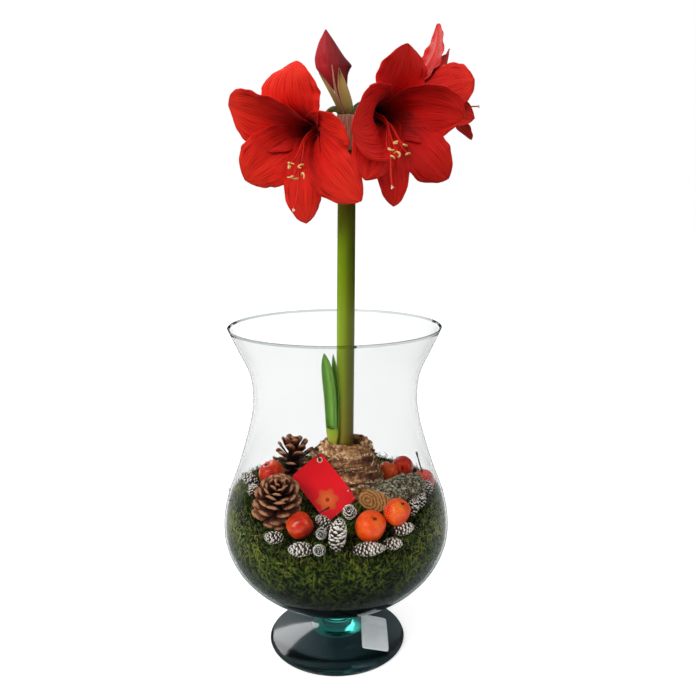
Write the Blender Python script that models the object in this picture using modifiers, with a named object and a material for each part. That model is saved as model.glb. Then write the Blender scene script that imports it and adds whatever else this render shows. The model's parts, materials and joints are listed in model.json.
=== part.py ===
# An amaryllis grown from its bulb in a footed glass vase: three open blooms and a bud on one
# stalk, with moss, cones, small apples, a log and a care card around the bulb inside the glass.
# The origin is the centre of the foot's underside. The front, where the left and right blooms
# face, is -Y. Sizes are in metres.

import math
import random

import bmesh
import bpy
import numpy as np
from mathutils import Matrix, Vector
from mathutils.bvhtree import BVHTree

MM = 0.001
GAP = 0.35 * MM  # clearance between pieces that rest on each other

# Vase
TURNS = 36  # steps round the glass, the soil and the moss
WALL = 3.0 * MM
HOLLOW_FLOOR = [(0.0, 57.0 * MM), (30 * MM, 57.4 * MM)]  # inside bottom of the bowl
VASE_HEIGHT = 380 * MM
FOOT_RADIUS = 80.2 * MM
# outside of the bowl, rim to knob, as radius and height in mm
BOWL = [
    (117.5, 380), (106.1, 355), (95.1, 330), (91.7, 305), (93.8, 280), (101.4, 250), (111.6, 218),
    (123.4, 186), (128.8, 157), (126.0, 128), (110.0, 97.6), (78.0, 69.8), (27.0, 51.0),
]
# knob between bowl and foot, then the foot's top and rim
KNOB = [(19.5, 46.5), (21.8, 36), (17.0, 22.5), (22.0, 16.5), (78.0, 3.6)]

# What fills the vase
SOIL_TOP = 150 * MM
MOSS_TOP = 187 * MM
MOSS_FALL = 34 * MM  # how much lower it lies at the front glass
MOSS_HOLE = 39.6 * MM
MOSS_CENTRE = 16.1 * MM  # the bulb stands this far to the right
# hollows under heavy pieces, in mm: x, y, depth, reach
HOLLOWS = [(-8, -51, 14, 17), (65, -97, 8, 16), (-64, -65, 6, 27), (-53, 48, 6, 27)]

# Bulb: centre x, radius and height in mm, from the base up over the lip and down into the neck
BULB_BODY = [
    (16, 12, 150.35), (16, 25, 152.6), (16, 33.0, 160), (16.2, 37.0, 174), (16.2, 38.0, 190),
    (16, 35.6, 206), (15.2, 30.4, 221), (13.6, 26.8, 233), (12.8, 25.2, 241), (12.7, 24.6, 247.6),
    (12.7, 22.4, 247.0), (12.7, 22.2, 236.0),
]
BULB_SIDES = 22

# Stalk: centreline and radius in mm
SCAPE = [
    (10.6, 236.35, 9.6), (10.7, 262, 9.8), (12.0, 370, 9.9), (13.6, 500, 9.6), (14.6, 588, 9.4),
    (14.6, 601.5, 10.8),
]

# Each bloom: base of its tube, the way it faces (degrees from the front towards +X, then up),
# and its six tepals clockwise from the front: clock angle, length mm, width mm, flare, sweep, twist
BLOOMS = {
    "left": ((-16, -3, 586.5), (-24, -12), [
        (-14, 85, 72, 126, -32, -12), (-60, 106, 62, 120, 15, -22), (-120, 100, 60, 112, 5, -10),
        (171, 112, 42, 112, -16, -20), (130, 116, 54, 114, -8, -8), (98, 70, 58, 98, -6, 0)]),
    "right": ((39, -9, 600), (28, -4), [
        (9, 87, 68, 88, 8, 18), (77, 100, 62, 86, -30, 20), (142, 113, 54, 110, 18, 10),
        (191, 115, 36, 122, 30, 20), (-140, 98, 54, 94, 20, 10), (-117, 96, 80, 74, -28, -10)]),
    "back": ((66, 42, 623), (107, 12), [
        (-6, 99, 46, 81, -24, 0), (49, 112, 50, 54, 0, 0), (112, 102, 50, 52, 0, 0),
        (170, 108, 54, 60, -6, 0), (-135, 90, 50, 62, 0, 0), (-93, 97, 48, 86, -5, 0)]),
}
TEPAL_THICK = 0.8 * MM
TUBE_RADIUS = 5.5 * MM
FLARE_POWER = 1.1  # above 1 the bloom is a deep funnel before it flares
TEPAL_WIDEST = 0.58  # share of the length where a tepal is widest
TEPAL_POINT = 0.7  # 0.5 is a round tip, 1 a pointed one
ROLL_OUTER, ROLL_INNER = 6.0 * MM, 0.5 * MM  # how far the rims roll back
RUFFLE = 2.2 * MM  # waves of the rims
MIDRIB = 1.2 * MM  # raised on the back of each tepal
THROAT = 13 * MM  # depth of the solid tube behind the open throat

# Anthers, then the style's tip, from each bloom's base in mm: along its axis, right, up
STAMENS = {
    "left": [
        (85, 7, -24), (79, 7, -21), (76, 15, -23), (82, 20, -29), (87, 13, -32), (81, 15, -35),
        (108, 20, -59)],
    "right": [
        (86, -30, -33), (92, -29, -40), (86, -23, -27), (91, -22, -35), (93, -14, -30), (97, -13, -37),
        (112, -39, -66)],
    "back": [
        (78, 4, -14), (82, -4, -10), (80, 8, -8), (74, -1, -18), (72, 9, -16), (85, 4, -3),
        (100, 3, -26)],
}

# Flower stalks from the stalk's top to each bloom's base, in mm, then the bud's
PEDICELS = {
    "left": [(8.4, -2.6, 601.9), (4.6, 0.6, 607), (-2, 7.5, 607.5), (-9, 13, 600)],
    "right": [(20, -3.6, 601.9), (24, 0, 607), (30, 4.5, 609), (36, 4, 604.5)],
    "back": [(19.4, 5.0, 601.9), (22, 10, 608), (29, 18, 614), (42, 29, 618)],
    "bud": [(12.2, 5.2, 601.9), (11.8, 5.6, 608), (10.8, 4.6, 615.3)],
}
PEDICEL_RADIUS = 3.1 * MM
OVARY_RADIUS = 5.4 * MM

# Closed bud: left and right edge, height and half depth in mm, from its base to its tip
BUD = [
    (6.6, 14.6, 615.8, 3.4), (0.8, 15.0, 626, 6.0), (-7.3, 15.4, 636.5, 8.0), (-12.4, 16.0, 642, 8.6),
    (-16.4, 18.0, 647, 9.0), (-17.8, 19.6, 651, 9.0), (-18.4, 13.4, 658, 8.8), (-17.2, 9.0, 664, 8.0),
    (-14.0, 2.6, 673.5, 5.6), (-9.4, -3.4, 682, 2.6), (-7.2, -6.2, 685.8, 0.7),
]
BUD_Y = 4 * MM

# Decorations on the moss in mm: x, y, height of the middle, then size and pose
APPLES = [
    ("apple_left_back", -75, 9, 202, 15.0, 25, 200), ("apple_left_front", -35.5, -82, 183, 13.5, 58, 12),
    ("apple_right_front", 37, -88.5, 184, 15.5, 35, 300),
    ("apple_right", 65, -76, 189, 13.5, 30, 330), ("apple_right_back", 80, 37, 200, 13.0, 80, 262),
    ("apple_bulb_side", 63, 20, 199, 12.0, 20, 40), ("apple_far_right", 101, -4, 199, 12.0, 12, 200),
]
PINE_CONES = [
    ("pine_cone_front", -64, -65, 200, 26, 44, 12, 300),
    ("pine_cone_back", -53, 48, 207, 25, 42, 10, 120),
]
# small cones: x, y, height, radius, length, then tilt from upright and heading in degrees
SMALL_CONES = [
    (-64, -91, 172, 7.5, 22, 78, 200), (-34, -105, 165, 8.8, 27, 85, 190),
    (-14, -88, 174, 7.0, 20, 80, 268), (2.5, -103, 178, 11.0, 38, 8, 0),
    (-14.5, -108, 163, 7.0, 18, 70, 250), (-11, -72, 180, 7.5, 22, 70, 150),
    (16, -70, 188, 8.5, 24, 45, 260), (38, -106, 165, 8.5, 36, 88, 5),
    (72, -84, 173, 8.0, 24, 80, 12), (60, -96, 161, 7.5, 21, 88, 4),
    (82, -64, 191, 7.6, 20, 15, 0), (94, -53, 193, 7.0, 18, 15, 0),
    (104, -24, 197, 6.8, 18, 15, 120), (-99, 1, 198, 8.0, 24, 50, 180),
    (-92, -21, 193, 7.5, 22, 80, 100),
]
LOG = [(34, -60, 196, 13.5), (54, -50, 199, 16.0), (74, -39, 202, 17.0), (90, -31.5, 203, 14.5)]

# Care card and its wire tie, which runs through the eyelet: points along, across and out of the
# card in mm, from the eyelet's middle
TAG_CENTRE = (-12.5, -40.6, 207)
TAG_LENGTH = 64 * MM
TAG_WIDTH = 42 * MM
TAG_THICK = 1.0 * MM
TAG_HOLE = 2.2 * MM
TAG_HOLE_IN = 6 * MM
TIE = [
    (1.0, 0.0, -4.0), (0.0, 0.0, -0.6), (-0.6, 0.2, 0.9), (-3.4, 0.6, 1.9), (-9, 1.4, 2.2),
    (-17, 1.0, 2.6),
]
TIE_RADIUS = 0.8 * MM

# Blank sticker on the foot: its left and right edge, its front and back edge in mm
LABEL_X = (29, 60)
LABEL_Y = (-43, 20)
LABEL_THICK = 0.7 * MM


def rgb(code):
    values = [int(code[i:i + 2], 16) / 255 for i in (0, 2, 4)]
    return [v / 12.92 if v <= 0.04045 else ((v + 0.055) / 1.055) ** 2.4 for v in values] + [1.0]


def material(name, code, roughness, transmission=0.0):
    mat = bpy.data.materials.new(name)
    mat.use_nodes = True
    shader = mat.node_tree.nodes["Principled BSDF"]
    shader.inputs["Base Color"].default_value = rgb(code)
    shader.inputs["Roughness"].default_value = roughness
    shader.inputs["Metallic"].default_value = 0.0
    shader.inputs["Transmission Weight"].default_value = transmission
    return mat


def new_object(name, points, faces, mat, group=None):
    mesh = bpy.data.meshes.new(name)
    mesh.from_pydata([tuple(p) for p in points], [], faces)
    mesh.validate()
    obj = bpy.data.objects.new(name, mesh)
    (group or parts).objects.link(obj)
    mesh.materials.append(mat)
    mesh.shade_smooth()
    mesh.set_sharp_from_angle(angle=math.radians(40))
    return obj


def loft(name, rings, mat, group=None):
    """One closed body through rings of like point counts, with a fan at each end."""
    rings = [np.asarray(r, float) for r in rings]
    n = len(rings[0])
    points = np.concatenate(rings + [rings[0].mean(0)[None], rings[-1].mean(0)[None]])
    first, last = len(rings) * n, len(rings) * n + 1
    faces = []
    for k in range(len(rings) - 1):
        for i in range(n):
            j = (i + 1) % n
            a, b, c, d = k * n + i, k * n + j, (k + 1) * n + j, (k + 1) * n + i
            faces += [(a, b, c), (a, c, d)]
    for i in range(n):
        j = (i + 1) % n
        faces += [(first, j, i), (last, (len(rings) - 1) * n + i, (len(rings) - 1) * n + j)]
    obj = new_object(name, points, faces, mat, group)
    face_out(obj.data)
    return obj


def face_out(mesh):
    work = bmesh.new()
    work.from_mesh(mesh)
    bmesh.ops.recalc_face_normals(work, faces=work.faces)
    if work.calc_volume(signed=True) < 0:
        bmesh.ops.reverse_faces(work, faces=work.faces)
    work.to_mesh(mesh)
    work.free()


def turned(name, profile, mat):
    """A turned body from a profile of radius and height in metres, outer side running down."""
    mesh = bpy.data.meshes.new(name)
    points = [(r, 0.0, z) for r, z in profile]
    mesh.from_pydata(points, [(i, i + 1) for i in range(len(points) - 1)], [])
    obj = bpy.data.objects.new(name, mesh)
    parts.objects.link(obj)
    mesh.materials.append(mat)
    screw = obj.modifiers.new("turn", "SCREW")
    screw.steps = TURNS
    screw.render_steps = TURNS
    screw.use_merge_vertices = True
    screw.merge_threshold = 0.00001
    screw.use_smooth_shade = True
    return obj


def applied(obj):
    """Replaces the object's mesh by its evaluated one and clears its modifiers."""
    bpy.context.view_layer.update()
    mesh = bpy.data.meshes.new_from_object(obj.evaluated_get(bpy.context.evaluated_depsgraph_get()))
    obj.modifiers.clear()
    obj.data = mesh
    return obj


def join(obj, group, solver="MANIFOLD"):
    """Unites the object with every body in the collection, then removes those."""
    union = obj.modifiers.new("union", "BOOLEAN")
    union.operation = "UNION"
    union.operand_type = "COLLECTION"
    union.collection = group
    union.solver = solver
    applied(obj)
    for other in list(group.objects):
        bpy.data.objects.remove(other)
    keep_outer(obj.data)
    obj.data.shade_smooth()
    obj.data.set_sharp_from_angle(angle=math.radians(40))
    return obj


def keep_outer(mesh):
    """Merges flat triangles, drops folded slivers, and keeps the largest shell, so that no
    sealed pocket is left inside."""
    work = bmesh.new()
    work.from_mesh(mesh)
    bmesh.ops.dissolve_limit(work, angle_limit=math.radians(0.6), verts=work.verts, edges=work.edges)
    bmesh.ops.triangulate(work, faces=work.faces)
    work.verts.index_update()
    same = {}
    for face in work.faces:
        same.setdefault(frozenset(v.index for v in face.verts), []).append(face)
    folded = [face for faces in same.values() if len(faces) == 2 for face in faces]
    bmesh.ops.delete(work, geom=folded, context="FACES")
    seen, shells = set(), []
    for start in work.verts:
        if start in seen:
            continue
        stack, shell = [start], []
        seen.add(start)
        while stack:
            v = stack.pop()
            shell.append(v)
            for e in v.link_edges:
                o = e.other_vert(v)
                if o not in seen:
                    seen.add(o)
                    stack.append(o)
        shells.append(shell)
    shells.sort(key=len, reverse=True)
    for shell in shells[1:]:
        bmesh.ops.delete(work, geom=shell, context="VERTS")
    work.to_mesh(mesh)
    work.free()


def unit(v):
    v = np.asarray(v, float)
    return v / np.linalg.norm(v)


def smooth_path(knots, count):
    """Points at even steps of a Catmull-Rom curve through the knots."""
    k = [np.asarray(p, float) for p in knots]
    k = [2 * k[0] - k[1]] + k + [2 * k[-1] - k[-2]]
    spans = len(k) - 3
    out = []
    for s in np.linspace(0, spans, count):
        i = min(int(s), spans - 1)
        t = s - i
        a, b, c, d = k[i], k[i + 1], k[i + 2], k[i + 3]
        square, cube = 2 * a - 5 * b + 4 * c - d, 3 * b - a - 3 * c + d
        out.append(0.5 * (2 * b + (c - a) * t + square * t ** 2 + cube * t ** 3))
    return np.array(out)


def tube_rings(path, radii, sides, level=False, end=None):
    """Rings square to the path, carried along it without twist; a level start stands flat and
    an end direction squares the last ring to it."""
    tangents = np.gradient(path, axis=0)
    if level:
        tangents[0] = (0, 0, 1)
    if end is not None:
        tangents[-1] = end
    side = unit(np.cross(tangents[0], (0.13, 0.9, 0.41)))
    rings = []
    for p, t, r in zip(path, tangents, radii):
        t = unit(t)
        side = unit(side - t * side.dot(t))
        up = np.cross(t, side)
        angles = np.arange(sides) * 2 * math.pi / sides
        rings.append(p + r * (np.outer(np.cos(angles), side) + np.outer(np.sin(angles), up)))
    return rings


def blade_rings(path, widths, thick, side):
    """Rings of a flat blade with a slightly thicker middle."""
    tangents = np.gradient(path, axis=0)
    tangents[0] = (0, 0, 1)
    rings = []
    for p, t, w in zip(path, tangents, widths):
        s = unit(np.asarray(side) - unit(t) * np.dot(side, unit(t)))
        n = np.cross(unit(t), s)
        edge, middle = 0.33 * MM, thick / 2
        upper = [(-0.5, edge), (-0.25, middle), (0.25, middle), (0.5, edge)]
        lower = [(across, -lift) for across, lift in upper[::-1]]
        rings.append([p + s * w * across + n * lift for across, lift in upper + lower])
    return rings


def inset(profile, distance):
    """The profile moved inwards, square to itself."""
    p = np.array(profile, float)
    t = np.gradient(p, axis=0)
    t /= np.linalg.norm(t, axis=1)[:, None]
    return p + distance * np.stack([t[:, 1], -t[:, 0]], axis=1)


def glass_inside(z):
    """Inner radius of the bowl at a height, on the flats between its steps."""
    return np.interp(z, INNER_LINE[:, 1], INNER_LINE[:, 0]) * math.cos(math.pi / TURNS)


def facing(az, el):
    a, e = math.radians(az), math.radians(el)
    return np.array([math.sin(a) * math.cos(e), -math.cos(a) * math.cos(e), math.sin(e)])


# Scene cleared, collections for the parts and for shapes that are joined into them

for old in list(bpy.data.objects):
    bpy.data.objects.remove(old)

parts = bpy.data.collections.new("amaryllis_in_a_pot")
bpy.context.scene.collection.children.link(parts)
pieces = bpy.data.collections.new("pieces")
bpy.context.scene.collection.children.link(pieces)

glass = material("glass", "CFE6DE", 0.02, 1.0)
earth = material("soil", "23281A", 0.95)
moss_green = material("moss", "5C7A35", 0.95)
tunic = material("bulb_tunic", "A9713F", 0.65)
stalk_green = material("stalk", "7C8B2E", 0.45)
leaf_green = material("leaf", "5F9A2C", 0.45)
pale_sheath = material("sheath", "C9C77A", 0.55)
scarlet = material("tepal_scarlet", "E4281D", 0.5)
crimson = material("tepal_crimson", "C41A18", 0.5)
bud_red = material("bud", "8E1A1F", 0.5)
gold = material("anther", "D9A65A", 0.7)
olive = material("bracteole", "8A7A38", 0.6)
papery = material("papery_bract", "B98468", 0.8)
apple_red = material("apple", "C8301C", 0.2)
apple_orange = material("apple_orange", "E2621E", 0.2)
cone_brown = material("pine_cone", "7A4A2C", 0.8)
frost = material("frosted_cone", "A78B74", 0.8)
bark = material("bark", "6E6A4E", 0.9)
card_red = material("card", "C9202C", 0.45)
tie_dark = material("tie", "3A2418", 0.6)
film = material("blank_label", "DDE3E0", 0.3)

# Vase: bowl, knob and foot are one piece of glass, turned from a profile that runs from the
# bottom of the hollow up to the rim, over it and down the outside to the foot's underside

outside = [(r * MM, z * MM) for r, z in BOWL]
INNER_LINE = inset(outside, WALL)[::-1]
hollow = [tuple(p) for p in inset(outside, WALL)][:-1]
hollow[0] = (outside[0][0] - 0.9 * WALL, VASE_HEIGHT)
profile = HOLLOW_FLOOR + hollow[::-1]
profile += outside + [(r * MM, z * MM) for r, z in KNOB]
profile += [(FOOT_RADIUS, 1.8 * MM), (FOOT_RADIUS - 1.2 * MM, 0.0), (0.0, 0.0)]
vase = turned("glass_vase", profile, glass)

# Soil: fills the bottom of the bowl against the glass, level under the bulb and the moss

lining = [tuple(p) for p in inset(outside, WALL + 1.4 * GAP) if 56 * MM < p[1] < SOIL_TOP - 3 * MM]
soil_profile = [(0.0, SOIL_TOP), (glass_inside(SOIL_TOP) - GAP, SOIL_TOP)] + lining
soil_profile += [(r, z + 1.6 * GAP) for r, z in HOLLOW_FLOOR[::-1]]
turned("soil", soil_profile, earth)

# Moss: a ring from the bulb to the glass, level behind and falling towards the front


def moss_height(x, y):
    front = min(max((-y - 40 * MM) / (82 * MM), 0.0), 1.0)
    fall = MOSS_FALL * front * front * (3 - 2 * front)
    for hx, hy, depth, reach in HOLLOWS:
        fall += depth * MM * math.exp(-((x / MM - hx) ** 2 + (y / MM - hy) ** 2) / reach ** 2)
    return max(MOSS_TOP - fall, SOIL_TOP + 2.5 * MM)


rng = random.Random(7)
MOSS_ROWS = 6
moss_points = []
for i in range(TURNS):
    a = 2 * math.pi * i / TURNS
    ring = []
    for k in range(MOSS_ROWS):
        f = k / (MOSS_ROWS - 1)
        reach = glass_inside(MOSS_TOP - MOSS_FALL / 2)
        cx, r = MOSS_CENTRE * (1 - f), MOSS_HOLE + (reach - MOSS_HOLE) * f
        x, y = cx + r * math.cos(a), r * math.sin(a)
        z = moss_height(x, y) + rng.uniform(-0.9, 0.5) * MM
        if k == MOSS_ROWS - 1:
            r = glass_inside(z) - GAP
            x, y = r * math.cos(a), r * math.sin(a)
        ring.append((x, y, z))
    low_out = glass_inside(SOIL_TOP + GAP) - GAP
    ring.append((low_out * math.cos(a), low_out * math.sin(a), SOIL_TOP + GAP))
    ring.append((MOSS_CENTRE + MOSS_HOLE * math.cos(a), MOSS_HOLE * math.sin(a), SOIL_TOP + GAP))
    moss_points.append(ring)
per = MOSS_ROWS + 2
flat_points = [p for ring in moss_points for p in ring]
moss_faces = []
for i in range(TURNS):
    j = (i + 1) % TURNS
    for k in range(per):
        m = (k + 1) % per
        a, b, c, d = i * per + k, i * per + m, j * per + m, j * per + k
        moss_faces += [(a, b, c), (a, c, d)]
moss = new_object("moss", flat_points, moss_faces, moss_green)
face_out(moss.data)

# Bulb: ribbed papery tunics over a round body, with an open neck that holds the stalk

rings = []
for k, (cx, r, z) in enumerate(BULB_BODY):
    inner = k >= len(BULB_BODY) - 2
    ring = []
    for i in range(BULB_SIDES):
        a = 2 * math.pi * i / BULB_SIDES
        rib = 0.0 if inner or k == 0 else 0.55 * math.cos(9 * a + 0.4 * k) + 0.35 * math.cos(5 * a + 1.7)
        ragged = 2.2 * math.sin(4 * a + 0.6) + 1.3 * math.sin(9 * a) if k in (9, 10) else 0.0
        ring.append(((cx + (r + rib) * math.cos(a)) * MM, (r + rib) * math.sin(a) * MM, (z + ragged) * MM))
    rings.append(ring)
bulb = loft("bulb", rings, tunic)

# Stalk: round, nearly straight, from the neck of the bulb to the head of the umbel

path = np.array([(x, 0.0, z) for x, z, r in SCAPE]) * MM
loft("scape", tube_rings(path, [r * MM for x, z, r in SCAPE], 14, level=True), stalk_green)

# Sheath and leaves: a pale collar at the stalk's left, with three young leaves standing on it

LEAF_SIDE = np.array([0.84, -0.54, 0.0])
LEAF_IN = np.array([0.54, 0.84, 0.0])
SHEATH = np.array([-3.2, -6.6, 0.0]) * MM
rings = []
for z, half, deep in ((236.35, 5.6, 2.4), (248, 6.4, 2.6), (254, 8.2, 2.8), (264, 9.0, 2.9)):
    middle = SHEATH + np.array([0, 0, z * MM])
    turn = np.arange(12) * 2 * math.pi / 12
    wide, thick = half * MM * np.cos(turn), deep * MM * np.sin(turn)
    rings.append(middle + np.outer(wide, LEAF_SIDE) + np.outer(thick, LEAF_IN))
loft("leaf_sheath", rings, pale_sheath)

LEAVES = {
    "leaf_front": (14.6, 1.9, 2.6, [
        (-3.9, -7.7, 264.35), (-5.2, -8.6, 300), (-8.4, -7.6, 330), (-12.1, -6, 349)]),
    "leaf_right": (7.4, 1.5, 2.2, [
        (1.0, -7.6, 264.35), (1.2, -6.6, 300), (-0.4, -4.0, 330), (-2.3, -2.6, 347)]),
    "leaf_short": (7.0, 1.5, 1.4, [
        (-5.2, -3.7, 264.35), (-5.6, -3.8, 290), (-5.8, -3.2, 315), (-5.7, -2.4, 336)]),
}
for name, (width, thick, point, knots) in LEAVES.items():
    path = smooth_path(np.array(knots) * MM, 7)
    along = np.linspace(0, 1, 7)
    belly = 0.9 + 0.1 * np.sin(math.pi * along)
    widths = width * MM * belly * np.clip(1 - along ** (2.2 * point), 0.1, 1)
    loft(name, blade_rings(path, widths, thick * MM, LEAF_SIDE), leaf_green)

# Blooms: six tepals each, three outer and three inner, flaring from a short tube


def tepal_grid(base, axis, clock, length, width, flare, sweep, twist, outer, stations, columns):
    """Points of one tepal: its midline leaves the tube and bends outwards, its section curves
    about the bloom's axis and flattens towards the ruffled rim."""
    up = unit(np.array([0, 0, 1.0]) - axis * axis[2])
    right = np.cross(up, axis)
    c = math.radians(clock)
    er = unit(up * math.cos(c) + right * math.sin(c))
    et = np.cross(axis, er)
    fine = np.linspace(0, 1, 200)
    th = math.radians(8) + math.radians(flare - 8) * fine ** FLARE_POWER
    sw = math.radians(sweep) * fine ** 1.5
    step = length * MM / 199
    along = np.concatenate([[0], np.cumsum(np.cos(th[:-1]) * step)])
    away = TUBE_RADIUS + (0.8 * MM if outer else -0.8 * MM)
    away = away + np.concatenate([[0], np.cumsum(np.sin(th[:-1]) * np.cos(sw[:-1]) * step)])
    aside = np.concatenate([[0], np.cumsum(np.sin(th[:-1]) * np.sin(sw[:-1]) * step)])
    swell = TEPAL_POINT * TEPAL_WIDEST / (1 - TEPAL_WIDEST)
    top = TEPAL_WIDEST ** swell * (1 - TEPAL_WIDEST) ** TEPAL_POINT
    roll = ROLL_OUTER if outer else ROLL_INNER
    grid = np.zeros((stations, columns, 3))
    for j, x in enumerate(np.linspace(0, 1, stations)):
        i = round(x * 199)
        half = width / 2 * MM * x ** swell * (1 - x) ** TEPAL_POINT / top + 5 * MM * (1 - x) ** 3
        if j == stations - 1:
            half = 0.9 * MM
        outward = er * math.cos(sw[i]) + et * math.sin(sw[i])
        tangent = unit(axis * math.cos(th[i]) + outward * math.sin(th[i]))
        side = unit(et - tangent * np.dot(et, tangent))
        normal = np.cross(side, tangent)
        if np.dot(normal, axis * math.sin(th[i]) - outward * math.cos(th[i])) < 0:
            normal = -normal
        t = math.radians(twist) * x
        side, normal = side * math.cos(t) + normal * math.sin(t), normal * math.cos(t) - side * math.sin(t)
        bend = away[i] * (1 + x * x) + MM
        middle = base + along[i] * axis + away[i] * er + aside[i] * et
        for m, v in enumerate(np.linspace(-1, 1, columns)):
            a = max(-2.4, min(2.4, v * half / bend))
            wave = math.sin(2 * math.pi * (2.2 * x + 0.7 + clock / 97 + 0.35 * (v > 0) - 0.35 * (v < 0)))
            lift = RUFFLE * wave * abs(v) ** 2.5 * 4 * x * (1 - x)
            lift -= MIDRIB * math.exp(-((v / 0.16) ** 2)) * math.sin(math.pi * x)
            lift -= roll * abs(v) ** 3 * math.sin(math.pi * x ** 1.3)
            grid[j, m] = middle + side * bend * math.sin(a) + normal * (bend * (1 - math.cos(a)) + lift)
    return grid


def thin_blade(name, grid, thick, mat, group=None):
    """A thin blade: the grid's open surface in triangles, thickened to both sides."""
    stations, columns = grid.shape[:2]
    faces = []
    for j in range(stations - 1):
        for m in range(columns - 1):
            a, b = j * columns + m, j * columns + m + 1
            c, d = (j + 1) * columns + m + 1, (j + 1) * columns + m
            faces += [(a, b, c), (a, c, d)] if m < columns // 2 else [(a, b, d), (b, c, d)]
    obj = new_object(name, grid.reshape(-1, 3), faces, mat, group)
    shell = obj.modifiers.new("thickness", "SOLIDIFY")
    shell.thickness = thick
    shell.offset = 0.0
    applied(obj)
    face_out(obj.data)
    return obj


for side, (base, turn, tepals) in BLOOMS.items():
    base, axis = np.array(base) * MM, facing(*turn)
    mat = scarlet if side == "left" else crimson
    stations, columns = (6, 5) if side == "back" else (7, 5)
    for k, shape in enumerate(tepals):
        grid = tepal_grid(base, axis, *shape, k % 2 == 0, stations, columns)
        thin_blade("tepal_%s_%d" % (side, k), grid, TEPAL_THICK, mat, pieces)
    path = np.array([base + axis * d for d in (-0.6 * MM, 2 * MM, 7 * MM, THROAT)])
    tube = loft("bloom_" + side, tube_rings(path, [5.6 * MM, 6.4 * MM, 7.0 * MM, 8.4 * MM], 10), mat)
    join(tube, pieces)

# Stamens and style of each bloom: six filaments, each swelling into its anther, and a longer
# style with its stigma, on one disc

for side, (base, turn, tepals) in BLOOMS.items():
    base, axis = np.array(base) * MM, facing(*turn)
    above = unit(np.array([0, 0, 1.0]) - axis * axis[2])
    across = np.cross(above, axis)
    seat = base + axis * (THROAT + GAP)
    rings = tube_rings(np.array([seat, seat + axis * 2.2 * MM]), [3.6 * MM, 3.2 * MM], 8)
    disc = loft("stamens_" + side, rings, gold)
    for k, (along, right, up) in enumerate(STAMENS[side]):
        a = 2 * math.pi * k / 6
        out = (across * math.cos(a) + above * math.sin(a)) * (2.2 * MM if k < 6 else 0.0)
        start = seat + axis * 1.0 * MM + out
        low = base + (axis * 0.45 * along + across * 0.22 * right + above * 0.22 * up) * MM + out
        late = base + (axis * 0.8 * along + across * 0.7 * right + above * 0.84 * up) * MM
        tip = base + (axis * along + across * right + above * up) * MM
        path = smooth_path([start, low, late, tip], 5)
        lean = unit(path[-1] - path[-2])
        if k < 6:
            lean = unit(lean + 0.6 * across * math.cos(2.1 * k) + 0.5 * above * math.sin(1.7 * k))
        swell = [(0.4, 1.5), (3.4, 1.9), (6.0, 1.0)] if k < 6 else [(0.6, 1.7), (2.2, 1.2)]
        path = np.concatenate([path, [path[-1] + lean * d * MM for d, r in swell]])
        radii = [0.95 * MM] * 4 + [0.8 * MM] + [r * MM for d, r in swell]
        loft("filament_%d" % k, tube_rings(path, radii, 3), gold, pieces)
    join(disc, pieces)

# Flower stalks: each rises from the stalk's top and ends in the ovary behind its bloom

for side, knots in PEDICELS.items():
    knots = [np.array(p, float) * MM for p in knots]
    axis = np.array([0, 0, 1.0])
    swell = [0] * 9
    if side in BLOOMS:
        base, turn, tepals = BLOOMS[side]
        base, axis = np.array(base) * MM, facing(*turn)
        knots += [base - axis * 9 * MM, base - axis * (0.6 * MM + GAP)]
        swell = [0, 0, 0, 0, 0, 0.3, 0.85, 1, 0.85]
    path = smooth_path(knots, 9)
    radii = [PEDICEL_RADIUS + (OVARY_RADIUS - PEDICEL_RADIUS) * f for f in swell]
    loft("pedicel_" + side, tube_rings(path, radii, 7, level=True, end=axis), stalk_green)

# Bud: a closed pointed form with a keel at each side, its lower tepal's tip turned to the right

rings = []
for left, right, z, deep in BUD:
    middle, half = (left + right) / 2, (right - left) / 2
    ring = []
    for i in range(10):
        a = 2 * math.pi * i / 10
        x = middle + half * math.copysign(abs(math.cos(a)) ** 1.15, math.cos(a))
        ring.append((x * MM, BUD_Y + deep * MM * math.sin(a) * (1 + 0.12 * math.cos(3 * a)), z * MM))
    rings.append(ring)
loft("bud", rings, bud_red)

# Bracts: one papery valve of the spathe hangs at the front, three bracteoles stand by the bud

rows = []
for z, r, half in ((600.8, 12.2, 56), (592, 13.8, 60), (582, 14.8, 56), (573, 15.2, 46), (565, 14.8, 16)):
    turn = np.radians(np.linspace(-90 - half, -90 + half, 7))
    rows.append([((14.6 + r * math.cos(a)) * MM, r * math.sin(a) * MM, z * MM) for a in turn])
thin_blade("spathe_bract", np.array(rows), 0.8 * MM, papery)

BRACTEOLES = {
    "bracteole_left": (4.6, 1.3, olive, [
        (8.2, -8.0, 601.9), (4.5, -8.6, 612), (-3, -8.6, 626), (-13.8, -7.6, 642)]),
    "bracteole_thin": (2.4, 1.1, papery, [
        (11.4, -8.2, 601.9), (7.8, -9.6, 611), (3.2, -10.6, 624), (-0.4, -10.6, 649)]),
    "bracteole_broad": (11.0, 1.3, olive, [
        (16.4, -8.0, 601.9), (15.2, -9.4, 610), (10.4, -9.6, 627), (6.7, -8.8, 646)]),
}
for name, (width, thick, mat, knots) in BRACTEOLES.items():
    path = smooth_path(np.array(knots) * MM, 6)
    along = np.linspace(0, 1, 6)
    belly = 0.32 + 0.68 * np.sin(math.pi * np.clip(along * 0.86 + 0.1, 0, 1))
    widths = width * MM * belly * np.clip(1.12 - along ** 6, 0.12, 1)
    loft(name, blade_rings(path, widths, thick * MM, (1.0, 0.12, 0.0)), mat)

# Decorations: each is made about its own middle, posed, and set down on the moss and its
# neighbours, a little at a time, so that it rests on them and clears the glass

placed = {}


def world_tree(obj):
    points = [obj.matrix_world @ v.co for v in obj.data.vertices]
    return BVHTree.FromPolygons(points, [tuple(p.vertices) for p in obj.data.polygons])


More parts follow.
